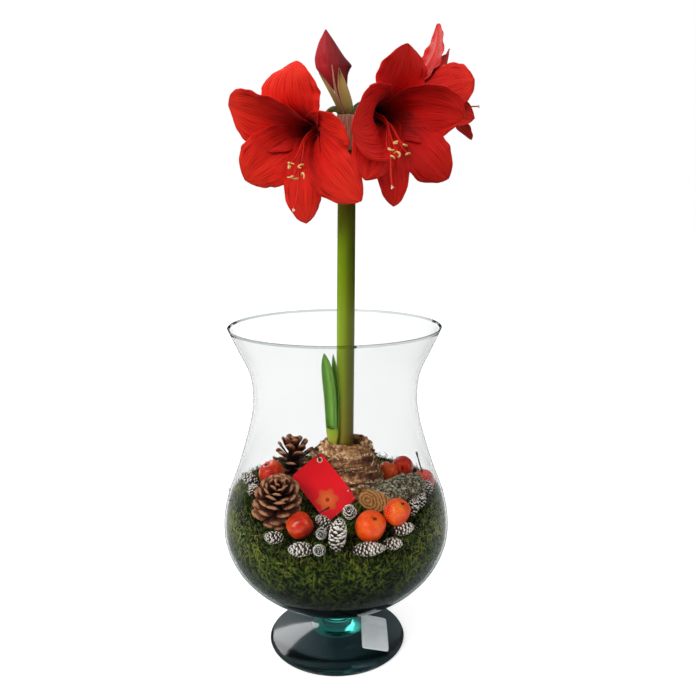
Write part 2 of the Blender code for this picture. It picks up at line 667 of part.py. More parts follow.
def probes(obj):
    """Corners, edge middles and face middles in world space."""
    m = obj.matrix_world
    co = [m @ v.co for v in obj.data.vertices]
    co += [(co[e.vertices[0]] + co[e.vertices[1]]) / 2 for e in obj.data.edges]
    co += [m @ p.center for p in obj.data.polygons]
    return co


def inside_glass(shape, at):
    """Moves a place towards the middle until every point of the shape clears the glass."""
    points = np.array(shape)
    for attempt in range(8):
        p = points + np.array(at)
        away = np.hypot(p[:, 0], p[:, 1])
        over = away - glass_inside(p[:, 2]) + 2 * GAP
        k = int(over.argmax())
        if over[k] <= 0:
            break
        at = at - Vector((p[k, 0], p[k, 1], 0)) / away[k] * (over[k] + 0.1 * MM)
    return at


def rest(obj, x, y, z, turn, solid_parts):
    """Poses the object at its place, or close by where that is free, and sets it down until it
    lies just clear of what is under it. The nearest free place wins."""
    obj.data.transform(turn)
    own, mine = world_tree(obj), probes(obj)
    if len(mine) > 1500:
        mine = mine[:len(obj.data.vertices)]
    shape = [v.co.copy() for v in obj.data.vertices]
    faces = [tuple(p.vertices) for p in obj.data.polygons]
    low = Vector((min(p.x for p in mine), min(p.y for p in mine), min(p.z for p in mine)))
    high = Vector((max(p.x for p in mine), max(p.y for p in mine), max(p.z for p in mine)))
    steps = [(i, j) for i in range(-6, 7) for j in range(-6, 7)]
    steps.sort(key=lambda s: s[0] ** 2 + s[1] ** 2)
    best = None
    for i, j in steps:
        aside = 2.5 * MM * math.hypot(i, j)
        if best and aside >= best[0]:
            break
        for raised in (3, 9, 15, 22):
            start = inside_glass(shape, Vector((x + 2.5 * MM * i, y + 2.5 * MM * j, z + raised * MM)))
            near = []
            for tree, points, a, b in solid_parts:
                along_x = a.x < start.x + high.x and b.x > start.x + low.x
                along_y = a.y < start.y + high.y and b.y > start.y + low.y
                if along_x and along_y:
                    near.append((tree, points))
            here = BVHTree.FromPolygons([v + start for v in shape], faces)
            if not any(here.overlap(tree) for tree, points in near):
                break
        else:
            continue
        fall = 60 * MM
        for tree, points in near:
            for p in mine:
                hit = tree.ray_cast(p + start, (0, 0, -1), fall + MM)
                if hit[0] is not None:
                    fall = min(fall, hit[3])
            for p in points:
                q = p - start
                if low.x < q.x < high.x and low.y < q.y < high.y and q.z < high.z:
                    hit = own.ray_cast(q, (0, 0, 1), fall + MM)
                    if hit[0] is not None:
                        fall = min(fall, hit[3])
        end = start - Vector((0, 0, fall - GAP - 0.1 * MM))
        score = aside + 1.3 * abs(end.z - z)
        if best is None or score < best[0]:
            best = (score, end)
    obj.data.transform(Matrix.Translation(best[1]))
    solid_parts.append(solid(obj))
    placed[obj.name] = best


def solid(obj):
    points = probes(obj)
    low = Vector((min(p.x for p in points), min(p.y for p in points), 0))
    high = Vector((max(p.x for p in points), max(p.y for p in points), 0))
    return world_tree(obj), points, low, high


bpy.context.view_layer.update()
solids = [solid(moss), solid(bulb)]


def heading(tilt, azimuth):
    """Leans an upright piece by tilt degrees towards an azimuth."""
    return Matrix.Rotation(math.radians(azimuth), 4, "Z") @ Matrix.Rotation(math.radians(tilt), 4, "Y")


# Small frosted cones: rows of pointed scales, each row turned by half a scale


def small_cone(name, radius, length, scales, seed):
    local = random.Random(seed)
    rings = []
    rows = 4 if length > 28 else 3
    for k in range(rows):
        f = (k + 0.5) / rows
        body = radius * math.sin(math.pi * (0.12 + 0.76 * f)) ** 0.7
        low, high = -length / 2 + length * k / rows, -length / 2 + length * (k + 0.92) / rows
        for z, tip, root in ((low, 0.62, 0.55), (high, 1.0, 0.66)):
            ring = []
            for i in range(scales * 2):
                a = 2 * math.pi * (i + k) / (scales * 2)
                r = body * (tip if i % 2 == 0 else root) * local.uniform(0.93, 1.0)
                lift = (0.05 if i % 2 == 0 else -0.02) * length if z == high else 0.0
                ring.append((r * math.cos(a) * MM, r * math.sin(a) * MM, (z + lift) * MM))
            rings.append(ring)
    return loft(name, rings, frost)


order = sorted(range(len(SMALL_CONES)), key=lambda i: SMALL_CONES[i][2])
low_ones = [i for i in order if SMALL_CONES[i][2] < 184]
high_ones = [i for i in order if SMALL_CONES[i][2] >= 184]


def set_small(i):
    x, y, z, radius, length, tilt, azimuth = SMALL_CONES[i]
    cone = small_cone("small_cone_%02d" % (i + 1), radius, length, 5 if length > 28 else 4, 20 + i)
    rest(cone, x * MM, y * MM, z * MM, heading(tilt, azimuth), solids)


# Large pine cones: woody scales in a spiral round a tapered core


def pine_cone(name, radius, height, seed):
    local = random.Random(seed)
    path = np.array([(0, 0, z * height * MM) for z in (-0.5, -0.3, 0.0, 0.3, 0.46)])
    radii = [f * radius * MM for f in (0.28, 0.44, 0.44, 0.3, 0.08)]
    core = loft(name, tube_rings(path, radii, 8), cone_brown)
    count = 20
    for k in range(count):
        f = (k + 0.5) / count
        a = k * math.radians(137.5)
        z = (-0.44 + 0.84 * f ** 0.9) * height * MM
        reach = 0.98 * radius * MM * math.sin(math.pi * (0.34 + 0.60 * f)) ** 0.8 * local.uniform(0.93, 1.0)
        rise = math.radians(-16 + 88 * f)
        out = np.array([math.cos(a) * math.cos(rise), math.sin(a) * math.cos(rise), math.sin(rise)])
        side = np.array([-math.sin(a), math.cos(a), 0.0])
        norm = np.cross(out, side)
        root = np.array([0, 0, z]) + out * 0.26 * radius * MM
        tip = np.array([0, 0, z]) + out * max(reach, 0.3 * radius * MM)
        wide = (7.4 - 4.0 * f) * MM
        rings = []
        for at, w, t in ((0, 0.5 * wide, 1.6 * MM), (0.82, wide, 1.2 * MM), (1, 0.55 * wide, 0.9 * MM)):
            p = root + (tip - root) * at
            corners = ((-1, -1), (1, -1), (1, 1), (-1, 1))
            rings.append([p + side * w * sideways + norm * t * upwards for sideways, upwards in corners])
        loft("scale_%d" % k, rings, cone_brown, pieces)
    return join(core, pieces)


# Apples: round with a hollow at the stalk and at the eye


# outline of an apple from the eye to the stalk, as parts of its radius
APPLE = [
    (0.10, -0.86), (0.34, -0.97), (0.76, -0.76), (1, -0.16), (0.93, 0.46), (0.5, 0.9), (0.2, 0.93),
    (0.06, 0.8),
]


def apple(name, radius, stem, mat):
    size = radius * MM
    turn = np.arange(9) * 2 * math.pi / 9
    rings = [[(r * size * math.cos(a), r * size * math.sin(a), z * size) for a in turn] for r, z in APPLE]
    obj = loft(name, rings, mat)
    if stem:
        knots = [(0, 0, 0.7 * radius), (0.6, 0, radius + 6), (2.5, 1, radius + stem)]
        path = smooth_path(np.array(knots) * MM, 5)
        loft("stem", tube_rings(path, [0.8 * MM] * 4 + [1.1 * MM], 6), bark, pieces)
        join(obj, pieces)
    return obj


for i in low_ones:
    set_small(i)
for name, x, y, z, radius, height, tilt, azimuth in PINE_CONES:
    rest(pine_cone(name, radius, height, 3), x * MM, y * MM, z * MM, heading(tilt, azimuth), solids)

# Log: a lichen-covered branch with flat cut ends

path = smooth_path(np.array([p[:3] for p in LOG]) * MM, 7)
radii = np.interp(np.linspace(0, 3, 7), range(4), [p[3] * MM for p in LOG])
rings = tube_rings(path, radii, 12)
lump = random.Random(11)
middle = np.mean([r.mean(0) for r in rings], axis=0)
for k, ring in enumerate(rings):
    centre = ring.mean(0)
    for i in range(12):
        ring[i] = centre + (ring[i] - centre) * lump.uniform(0.93, 1.06) - middle
log = loft("log", rings, bark)
rest(log, *[float(v) for v in middle], Matrix.Identity(4), solids)

# Care card: a thin card with a round eyelet hole, standing on one corner against the bulb

tag = new_object("care_card", [], [], card_red)
work = bmesh.new()
bmesh.ops.create_cube(work, size=1.0)
bmesh.ops.scale(work, vec=(TAG_LENGTH, TAG_WIDTH, TAG_THICK), verts=work.verts)
work.to_mesh(tag.data)
work.free()
drill = new_object("eyelet", [], [], card_red, pieces)
work = bmesh.new()
depth = 8 * TAG_THICK
bmesh.ops.create_cone(work, cap_ends=True, segments=16, radius1=TAG_HOLE, radius2=TAG_HOLE, depth=depth)
eye = Vector((-TAG_LENGTH / 2 + TAG_HOLE_IN, TAG_WIDTH / 2 - TAG_HOLE_IN, 0))
bmesh.ops.translate(work, vec=eye, verts=work.verts)
work.to_mesh(drill.data)
work.free()
drill.hide_render = True
drill.display_type = "WIRE"
hole = tag.modifiers.new("eyelet", "BOOLEAN")
hole.operation = "DIFFERENCE"
hole.object = drill
applied(tag)
bpy.data.objects.remove(drill)
along = unit(np.array([39, -15, -46.0]))
across = unit(np.array([32, 15, 21.0]) - along * np.dot((32, 15, 21.0), along))
face = np.cross(along, across)
turn = Matrix([[along[i], across[i], face[i], 0] for i in range(3)] + [[0, 0, 0, 1]])
rest(tag, *[c * MM for c in TAG_CENTRE], turn, solids)

path = smooth_path([np.array(p) * MM + np.array(eye) for p in TIE], 9)
tie = loft("card_tie", tube_rings(path, [TIE_RADIUS] * 9, 5), tie_dark)
tie.data.transform(Matrix.Translation(placed["care_card"][1]) @ turn)
solids.append(solid(tie))

STEMS = {"apple_far_right": 25, "apple_left_front": 22}
for name, x, y, z, radius, tilt, azimuth in APPLES[:1] + APPLES[4:] + APPLES[1:4]:
    mat = apple_orange if name in ("apple_right_front", "apple_right") else apple_red
    fruit = apple(name, radius, STEMS.get(name, 0), mat)
    rest(fruit, x * MM, y * MM, z * MM, heading(tilt, azimuth), solids)
for i in high_ones:
    set_small(i)

# Blank label: a thin clear sticker draped over the foot's slope, at the right

x, y = np.meshgrid(np.linspace(*LABEL_X, 6), np.linspace(*LABEL_Y, 9), indexing="ij")
slope = np.interp(np.hypot(x, y), *np.transpose(KNOB[-2:]))
drape = np.stack([x, y, slope], axis=2) * MM + np.array([0, 0, 1.2 * GAP + LABEL_THICK / 2])
thin_blade("foot_label", drape, LABEL_THICK, film)

bpy.data.collections.remove(pieces)
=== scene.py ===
import json
import math
import random

import bmesh
import bpy
import numpy as np
from mathutils import Matrix, Vector, noise

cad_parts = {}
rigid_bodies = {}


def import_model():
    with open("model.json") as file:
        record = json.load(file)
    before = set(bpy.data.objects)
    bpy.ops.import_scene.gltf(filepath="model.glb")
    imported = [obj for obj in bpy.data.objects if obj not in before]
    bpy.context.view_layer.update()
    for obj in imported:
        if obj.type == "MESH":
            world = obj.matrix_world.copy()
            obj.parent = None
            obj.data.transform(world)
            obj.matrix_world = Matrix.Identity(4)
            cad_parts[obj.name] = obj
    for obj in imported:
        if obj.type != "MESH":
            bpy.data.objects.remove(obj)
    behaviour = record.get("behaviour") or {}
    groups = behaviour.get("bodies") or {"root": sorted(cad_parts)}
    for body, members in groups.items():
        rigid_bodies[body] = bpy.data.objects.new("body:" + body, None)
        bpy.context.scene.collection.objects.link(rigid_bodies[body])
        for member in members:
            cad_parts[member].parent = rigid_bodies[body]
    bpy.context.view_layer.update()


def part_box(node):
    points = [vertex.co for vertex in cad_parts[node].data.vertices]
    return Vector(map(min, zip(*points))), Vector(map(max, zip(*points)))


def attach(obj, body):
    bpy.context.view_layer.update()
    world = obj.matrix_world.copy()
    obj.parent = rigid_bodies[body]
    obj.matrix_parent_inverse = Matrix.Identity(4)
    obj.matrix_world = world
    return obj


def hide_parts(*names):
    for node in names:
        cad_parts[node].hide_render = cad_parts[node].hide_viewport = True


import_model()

# Glass vase: a hurricane vase blown in one piece, with a wide bowl, a solid knob and a flat foot.
# The wall is thin clear soda-lime glass; the solid knob shows its green, and the foot's tint is a painted
# shade, dark teal with a lighter left side.

MM = 0.001
WALL = 1.8
BOWL_FLOOR, KNOB_TOP, FOOT_TOP, STEM_RADIUS, RIM_FROM = 56.8, 52, 16.4, 30, 379.6
# outside of the bowl, rim to knob, then the knob: radius and height in mm
BOWL = [
    (117.5, 380), (106.1, 355), (95.1, 330), (91.7, 305), (93.8, 280), (101.4, 250), (111.6, 218),
    (123.4, 186), (128.8, 157), (126.0, 128), (110.0, 97.6), (78.0, 69.8), (27.0, 51.0),
]
KNOB = [(20.6, 48.2), (19.3, 45.6), (22.2, 40), (22.0, 33.5), (17.2, 25.5), (17.4, 20.5), (22.5, 16.6)]
FOOT = [
    (30, 14.6), (54, 9.1), (76, 4.0), (79.6, 3.0), (80.2, 2.0), (79.8, 0.9), (78.6, 0.0), (50, 0.0),
    (0, 0.0),
]


def smooth_path(knots, count):
    """Points at even steps of a Catmull-Rom curve through the knots."""
    k = [np.asarray(p, float) for p in knots]
    k = [2 * k[0] - k[1]] + k + [2 * k[-1] - k[-2]]
    spans = len(k) - 3
    out = []
    for s in np.linspace(0, spans, count):
        i = min(int(s), spans - 1)
        t = s - i
        a, b, c, d = k[i], k[i + 1], k[i + 2], k[i + 3]
        square, cube = 2 * a - 5 * b + 4 * c - d, 3 * b - a - 3 * c + d
        out.append(0.5 * (2 * b + (c - a) * t + square * t ** 2 + cube * t ** 3))
    return np.array(out)


def inset(profile, distance):
    """The profile moved inwards, square to itself."""
    p = np.array(profile, float)
    t = np.gradient(p, axis=0)
    t /= np.linalg.norm(t, axis=1)[:, None]
    return p + distance * np.stack([t[:, 1], -t[:, 0]], axis=1)


def tone(code):
    """Linear colour of an sRGB hex value."""
    values = [int(code[i:i + 2], 16) / 255 for i in (0, 2, 4)]
    return [v / 12.92 if v <= 0.04045 else ((v + 0.055) / 1.055) ** 2.4 for v in values] + [1.0]


def feed(tree, node, inputs):
    """Gives each named input a value, another node's first live output, or a given output."""
    for name, value in inputs.items():
        if isinstance(value, bpy.types.Node):
            value = next(s for s in value.outputs if s.enabled)
        if isinstance(value, bpy.types.NodeSocket):
            tree.links.new(value, node.inputs[name])
        else:
            node.inputs[name].default_value = value


def add(tree, kind, inputs=None, stops=None, **settings):
    """Adds a node with its settings and links; stops are the places and colours of a ramp."""
    node = tree.nodes.new(kind)
    for name, value in settings.items():
        setattr(node, name, value)
    for k, (place, code) in enumerate(stops or []):
        elements = node.color_ramp.elements
        stop = elements[k] if k < 2 else elements.new(place)
        stop.position = place
        stop.color = tone(code)
    feed(tree, node, inputs or {})
    return node


def surface(name):
    """A new material, its tree and its shader."""
    mat = bpy.data.materials.new(name)
    mat.use_nodes = True
    return mat, mat.node_tree, mat.node_tree.nodes["Principled BSDF"]


def clear_glass(name, along, low, high, stops, roughness, ior):
    """Fire-polished glass: full transmission, its tint running along one axis, and lamps reach
    what stands behind it."""
    mat, tree, shader = surface(name)
    place = add(tree, "ShaderNodeSeparateXYZ", {"Vector": add(tree, "ShaderNodeTexCoord").outputs["Object"]})
    share = add(tree, "ShaderNodeMapRange", {
        "Value": place.outputs[along], "From Min": low, "From Max": high})
    tint = add(tree, "ShaderNodeValToRGB", {"Fac": share}, stops=stops)
    feed(tree, shader, {
        "Base Color": tint, "Roughness": roughness, "IOR": ior, "Transmission Weight": 1.0})
    through = add(tree, "ShaderNodeBsdfTransparent", {"Color": tint})
    ray = add(tree, "ShaderNodeLightPath")
    mix = add(tree, "ShaderNodeMixShader", {0: ray.outputs["Is Shadow Ray"], 1: shader, 2: through})
    feed(tree, tree.nodes["Material Output"], {"Surface": mix})
    return mat


def piece(name, points, faces, mats, uvs=None, slots=None, sharp=60):
    """A mesh object at the origin, smooth but for its sharp edges; uvs and slots go by face."""
    mesh = bpy.data.meshes.new(name)
    mesh.from_pydata([tuple(p) for p in points], [], faces)
    if uvs is not None:
        layer = mesh.uv_layers.new(name="UVMap")
        layer.data.foreach_set("uv", np.array([c for f in uvs for c in f], np.float32).ravel())
    obj = bpy.data.objects.new(name, mesh)
    bpy.context.scene.collection.objects.link(obj)
    for mat in mats if isinstance(mats, (list, tuple)) else [mats]:
        mesh.materials.append(mat)
    if slots is not None:
        mesh.polygons.foreach_set("material_index", slots)
    mesh.shade_smooth()
    mesh.set_sharp_from_angle(angle=math.radians(sharp))
    return obj


def face_outwards(mesh, turned_in=None):
    """Turns a mesh's faces one way, and over where the test finds that they point inwards."""
    work = bmesh.new()
    work.from_mesh(mesh)
    bmesh.ops.recalc_face_normals(work, faces=work.faces)
    if turned_in and turned_in(work):
        bmesh.ops.reverse_faces(work, faces=work.faces)
    work.to_mesh(mesh)
    work.free()


def revolve(name, profile, turns, mats, slot_of=None, sharp=60):
    """A turned body from a profile that starts and ends on the axis; slot_of gives a row's finish."""
    profile = np.array(profile, float)
    angles = np.arange(turns) * 2 * math.pi / turns
    points = [np.array([[0, 0, profile[0, 1]]])]
    for r, z in profile[1:-1]:
        points.append(np.stack([r * np.cos(angles), r * np.sin(angles), np.full(turns, z)], 1))
    points.append(np.array([[0, 0, profile[-1, 1]]]))
    points = np.concatenate(points)
    rows = len(profile) - 2
    faces, slots = [], []
    for i in range(turns):
        j = (i + 1) % turns
        faces.append((0, 1 + i, 1 + j))
        slots.append(0)
        for k in range(rows - 1):
            a, b = 1 + k * turns, 1 + (k + 1) * turns
            faces.append((a + i, b + i, b + j, a + j))
            slots.append(slot_of(profile[k + 1, 0], profile[k + 1, 1]) if slot_of else 0)
        last = 1 + (rows - 1) * turns
        faces.append((last + i, len(points) - 1, last + j))
        slots.append(slots[-1])
    obj = piece(name, points * MM, faces, mats, slots=slots if slot_of else None, sharp=sharp)
    face_outwards(obj.data)
    return obj


def stands_for(obj, slot, *nodes):
    """The piece rides on the root body and stands for its CAD nodes; slot is not used."""
    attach(obj, "root")
    if nodes:
        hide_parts(*nodes)
    return obj


outer = smooth_path(BOWL, 100)
inner = inset(outer, WALL)[::-1]
inner = inner[inner[:, 0] > STEM_RADIUS]
hollow = [(0.0, BOWL_FLOOR), (16.0, 56.9), (26.0, 57.2)]
hollow += [tuple(p) for p in inner if p[1] < RIM_FROM - 1]
rim = [(115.9, 379.3), (116.2, 379.9), (116.8, 380.0), (117.3, 379.7)]
knob = smooth_path(KNOB, 30)
vase_profile = hollow + rim + [tuple(p) for p in outer[1:]] + [tuple(p) for p in knob] + FOOT
# Blown glass is colourless where it is thin and clean; its tint darkens towards the bottom of the bowl, a
# painted shade over the soil and moss behind it.
# Its IOR is set lower than soda-lime glass has, for a bowl that mirrors the room as faintly as this one.
bowl_glass = clear_glass("clear_blown_glass", "Z", 0.05, 0.17, [
    (0.0, "46544F"), (0.38, "94A19C"), (0.72, "D0D6D4"), (1.0, "E8E9E9")], 0.0, 1.13)
# The rim and the solid knob gather the colour of thick glass, grey and green; the foot's tint is a painted
# shade, grey at its left and dark teal from its middle to its right
rim_glass = clear_glass("fire_polished_rim", "X", -0.118, 0.118, [
    (0.0, "98A3A1"), (1.0, "B6BEBC")], 0.0, 1.25)
knob_glass = clear_glass("thick_green_glass", "Z", 0.016, 0.05, [
    (0.3, "3FB5A6"), (0.7, "5CCBBD")], 0.0, 1.46)
# Painted shade: the foot's tint runs from grey at the left to dark teal across the middle and right
foot_glass = clear_glass("foot_glass_painted_shade", "X", -0.08, 0.08, [
    (0.0, "7E8686"), (0.26, "56666A"), (0.5, "2B3E42"), (0.8, "24363A"), (1.0, "4A595D")], 0.11, 1.46)


def glass_slot(r, z):
    """Which glass a row of the profile shows: bowl, knob, foot or rim, counted from 0."""
    if z > RIM_FROM:
        return 3
    if z > KNOB_TOP:
        return 0
    return 1 if z > FOOT_TOP and r < STEM_RADIUS else 2


vase_glass = [bowl_glass, knob_glass, foot_glass, rim_glass]
vase = revolve("vase", vase_profile, 144, vase_glass, slot_of=glass_slot, sharp=50)
stands_for(vase, "glass", "glass_vase")


def glass_inside(z):
    """Inner radius of the bowl in mm at a height in mm."""
    return float(np.interp(z, inner[:, 1], inner[:, 0]))


# Soil: moist dark potting soil in the lower half of the bowl, pressed against the glass.
# It is set back a little, because strands of moss are stuffed between it and the glass.

SOIL_TOP, SOIL_GAP = 150, 1.4
profile = [(0, SOIL_TOP), (60, SOIL_TOP)]
profile += [(glass_inside(z) - SOIL_GAP, z) for z in np.linspace(SOIL_TOP - 0.5, 66, 40)]
profile += [(30, 59.2), (0, 59.0)]
# Damp peat: almost black, crumbled in lumps of about 4 mm, with hardly any shine
soil_dark, tree, shader = surface("potting_soil")
coords = add(tree, "ShaderNodeTexCoord").outputs["Object"]
crumbs = add(tree, "ShaderNodeTexVoronoi", {"Vector": coords, "Scale": 260.0})
patches = add(tree, "ShaderNodeTexNoise", {"Vector": coords, "Scale": 45.0, "Detail": 5.0})
mixed = add(tree, "ShaderNodeMath", {
    0: crumbs.outputs["Distance"], 1: patches.outputs["Fac"]}, operation="MULTIPLY")
colour = add(tree, "ShaderNodeValToRGB", {"Fac": mixed}, stops=[
    (0.12, "070906"), (0.34, "12160E"), (0.6, "232114")])
bump = add(tree, "ShaderNodeBump", {"Height": crumbs.outputs["Distance"], "Strength": 0.7, "Distance": 0.002})
feed(tree, shader, {"Base Color": colour, "Roughness": 0.9, "Normal": bump, "Specular IOR Level": 0.25})
soil = revolve("soil_fill", profile, 96, soil_dark)
for v in soil.data.vertices:
    v.co += Vector((v.co.x, v.co.y, 0)).normalized() * 0.8 * MM * noise.noise(v.co * 90)
stands_for(soil, "soil", "soil")

# Moss: fresh sheet moss laid on the soil round the bulb, falling to the front, where it is
# pushed up against the glass. It is a body with thousands of short feathery strands on it.

MOSS_TOP, MOSS_FALL, MOSS_HOLE, MOSS_HOLE_X, MOSS_GAP = 187, 34, 39.6, 16.1, 1.3
# where the moss is pushed down: place, depth and reach
HOLLOWS = [(-8, -51, 14, 17), (65, -97, 8, 16), (-64, -65, 6, 27), (-53, 48, 6, 27)]


def moss_height(x, y):
    """Height of the moss in mm at a place in mm: it falls to the front and into the hollows."""
    front = min(max((-y - 40) / 82, 0.0), 1.0)
    fall = MOSS_FALL * front * front * (3 - 2 * front)
    for hx, hy, depth, reach in HOLLOWS:
        fall += depth * math.exp(-((x - hx) ** 2 + (y - hy) ** 2) / reach ** 2)
    return max(MOSS_TOP - fall, SOIL_TOP + 2.5)


def growing_tree(name, inputs):
    """A new Geometry Nodes tree, with its named inputs as live outputs."""
    tree = bpy.data.node_groups.new(name, "GeometryNodeTree")
    tree.interface.new_socket("Geometry", in_out="INPUT", socket_type="NodeSocketGeometry")
    for label, kind in inputs.items():
        tree.interface.new_socket(label, in_out="INPUT", socket_type="NodeSocket" + kind)
    tree.interface.new_socket("Geometry", in_out="OUTPUT", socket_type="NodeSocketGeometry")
    return tree, add(tree, "NodeGroupInput").outputs


def copies_made_real(tree, copies, finish):
    """Ends a tree: its copies become one real mesh of one finish."""
    real = add(tree, "GeometryNodeRealizeInstances", {"Geometry": copies})
    done = add(tree, "GeometryNodeSetMaterial", {"Geometry": real, "Material": finish})
    add(tree, "NodeGroupOutput", {0: done})
    return tree


def strand_tree():
    """Scatters copies of a small mesh over a surface, turned at random and leaning off it. Density
    is for each square metre and the leans are in radians."""
    tree, given = growing_tree("scattered_strands", {
        "Strand": "Object", "Density": "Float", "Least Lean": "Float", "Most Lean": "Float",
        "Least Size": "Float", "Most Size": "Float", "Seed": "Int", "Finish": "Material"})
    cover = add(tree, "GeometryNodeInputNamedAttribute", {"Name": "cover"}, data_type="FLOAT")
    density = add(tree, "ShaderNodeMath", {
        0: given["Density"], 1: cover.outputs["Attribute"]}, operation="MULTIPLY")
    dots = add(tree, "GeometryNodeDistributePointsOnFaces", {
        "Mesh": given["Geometry"], "Density": density, "Seed": given["Seed"]})
    spin = add(tree, "FunctionNodeRandomValue", {
        2: 0.0, 3: 2 * math.pi, "Seed": given["Seed"]}, data_type="FLOAT")
    lean = add(tree, "FunctionNodeRandomValue", {
        2: given["Least Lean"], 3: given["Most Lean"], "Seed": 5}, data_type="FLOAT")
    size = add(tree, "FunctionNodeRandomValue", {
        2: given["Least Size"], 3: given["Most Size"], "Seed": 6}, data_type="FLOAT")
    about = add(tree, "ShaderNodeCombineXYZ", {"Z": spin})
    tip = add(tree, "ShaderNodeCombineXYZ", {"Y": lean})
    about = add(tree, "FunctionNodeEulerToRotation", {0: about})
    tip = add(tree, "FunctionNodeEulerToRotation", {0: tip})
    turned = add(tree, "FunctionNodeRotateRotation", {
        0: dots.outputs["Rotation"], 1: about}, rotation_space="LOCAL")
    turned = add(tree, "FunctionNodeRotateRotation", {0: turned, 1: tip}, rotation_space="LOCAL")
    shape = add(tree, "GeometryNodeObjectInfo", {"Object": given["Strand"]})
    copies = add(tree, "GeometryNodeInstanceOnPoints", {
        "Points": dots.outputs["Points"], "Instance": shape.outputs["Geometry"], "Rotation": turned,
        "Scale": size})
    shade = add(tree, "FunctionNodeRandomValue", {2: 0.0, 3: 1.0, "Seed": 7}, data_type="FLOAT")
    marked = add(tree, "GeometryNodeStoreNamedAttribute", {
        "Geometry": copies, "Name": "shade", "Value": shade}, data_type="FLOAT", domain="INSTANCE")
    return copies_made_real(tree, marked, given["Finish"])


def applied(obj):
    """Replaces the object's mesh by its evaluated one and clears its modifiers."""
    bpy.context.view_layer.update()
    mesh = bpy.data.meshes.new_from_object(obj.evaluated_get(bpy.context.evaluated_depsgraph_get()))
    obj.modifiers.clear()
    obj.data = mesh
    return obj


def grown(name, base, tree, values):
    """Runs a tree on a mesh and returns the result as a plain mesh object."""
    obj = bpy.data.objects.new(name, base)
    bpy.context.scene.collection.objects.link(obj)
    grow = obj.modifiers.new("grow", "NODES")
    grow.node_group = tree
    for item in tree.interface.items_tree:
        if item.in_out == "INPUT" and item.name in values:
            grow[item.identifier] = values[item.name]
    finishes = applied(obj).data.materials
    for index, kept in enumerate(list(finishes)):
        if kept is None:
            finishes.pop(index=index)
    return obj


def moss_finish(name, stops, scale):
    """Living moss: its green changes from clump to clump, about 30 mm apart, and from strand to strand; it is
    matte, and a painted shade darkens it low down in the bowl."""
    mat, tree, shader = surface(name)
    coords = add(tree, "ShaderNodeTexCoord").outputs["Object"]
    clumps = add(tree, "ShaderNodeTexNoise", {"Vector": coords, "Scale": scale, "Detail": 3.0})
    each = add(tree, "ShaderNodeAttribute", attribute_name="shade")
    both = add(tree, "ShaderNodeMix", {
        0: 0.42, 2: clumps.outputs["Fac"], 3: each.outputs["Fac"]}, data_type="FLOAT")
    colour = add(tree, "ShaderNodeValToRGB", {"Fac": both}, stops=stops)
    place = add(tree, "ShaderNodeSeparateXYZ", {"Vector": coords})
    height = add(tree, "ShaderNodeMapRange", {
        "Value": place.outputs["Z"], "From Min": 0.07, "From Max": 0.17})
    # Painted shade: the moss colour is multiplied darker and darker towards the bottom of the bowl
    painted_low_shade = add(tree, "ShaderNodeValToRGB", {"Fac": height}, stops=[
        (0.0, "343A34"), (0.3, "687064"), (0.62, "CDD2C2"), (1.0, "FFFFFF")])
    colour = add(tree, "ShaderNodeMix", {0: 1.0, 6: colour, 7: painted_low_shade}, data_type="RGBA", blend_type="MULTIPLY")
    feed(tree, shader, {"Base Color": colour, "Roughness": 0.85, "Specular IOR Level": 0.15})
    return mat


moss_green = moss_finish("sheet_moss", [
    (0.24, "141E08"), (0.38, "31420E"), (0.53, "5A6E1A"), (0.69, "8C962C"), (0.86, "C8B258")], 32.0)
moss_deep = moss_finish("moss_underlayer", [
    (0.2, "0A1006"), (0.45, "1B280D"), (0.62, "2D3F16"), (0.8, "465820")], 38.0)
TURNS, ROWS, MOSS_EDGE = 120, 26, 172
points, faces = [], []
for i in range(TURNS):
    a = 2 * math.pi * i / TURNS
    for k in range(ROWS):
        f = k / (ROWS - 1)
        reach = glass_inside(MOSS_EDGE) - SOIL_GAP
        cx, r = MOSS_HOLE_X * (1 - f), MOSS_HOLE + (reach - MOSS_HOLE) * f
        x, y = cx + r * math.cos(a), r * math.sin(a)
        z = moss_height(x, y)
        z += 2.4 * noise.noise(Vector((x / 14, y / 14, 2)))
        z += 1.0 * noise.noise(Vector((x / 5, y / 5, 5))) - 1.2
        if k == ROWS - 1:
            r = glass_inside(z) - MOSS_GAP
            x, y, z = r * math.cos(a), r * math.sin(a), z - 1.5
        points.append((x * MM, y * MM, z * MM))
    for z in (z * 0.7 + SOIL_TOP * 0.3, z * 0.35 + SOIL_TOP * 0.65, SOIL_TOP + 0.4):
        r = glass_inside(z) - MOSS_GAP
        points.append((r * MM * math.cos(a), r * MM * math.sin(a), z * MM))
    x, y = MOSS_HOLE_X + MOSS_HOLE * math.cos(a), MOSS_HOLE * math.sin(a)
    points.append((x * MM, y * MM, (SOIL_TOP + 0.4) * MM))
PER = ROWS + 4
for i in range(TURNS):
    j = (i + 1) % TURNS
    for k in range(PER):
        m = (k + 1) % PER
        faces.append((i * PER + k, j * PER + k, j * PER + m, i * PER + m))
moss = piece("moss_body", points, faces, moss_deep)
stands_for(moss, "moss", "moss")

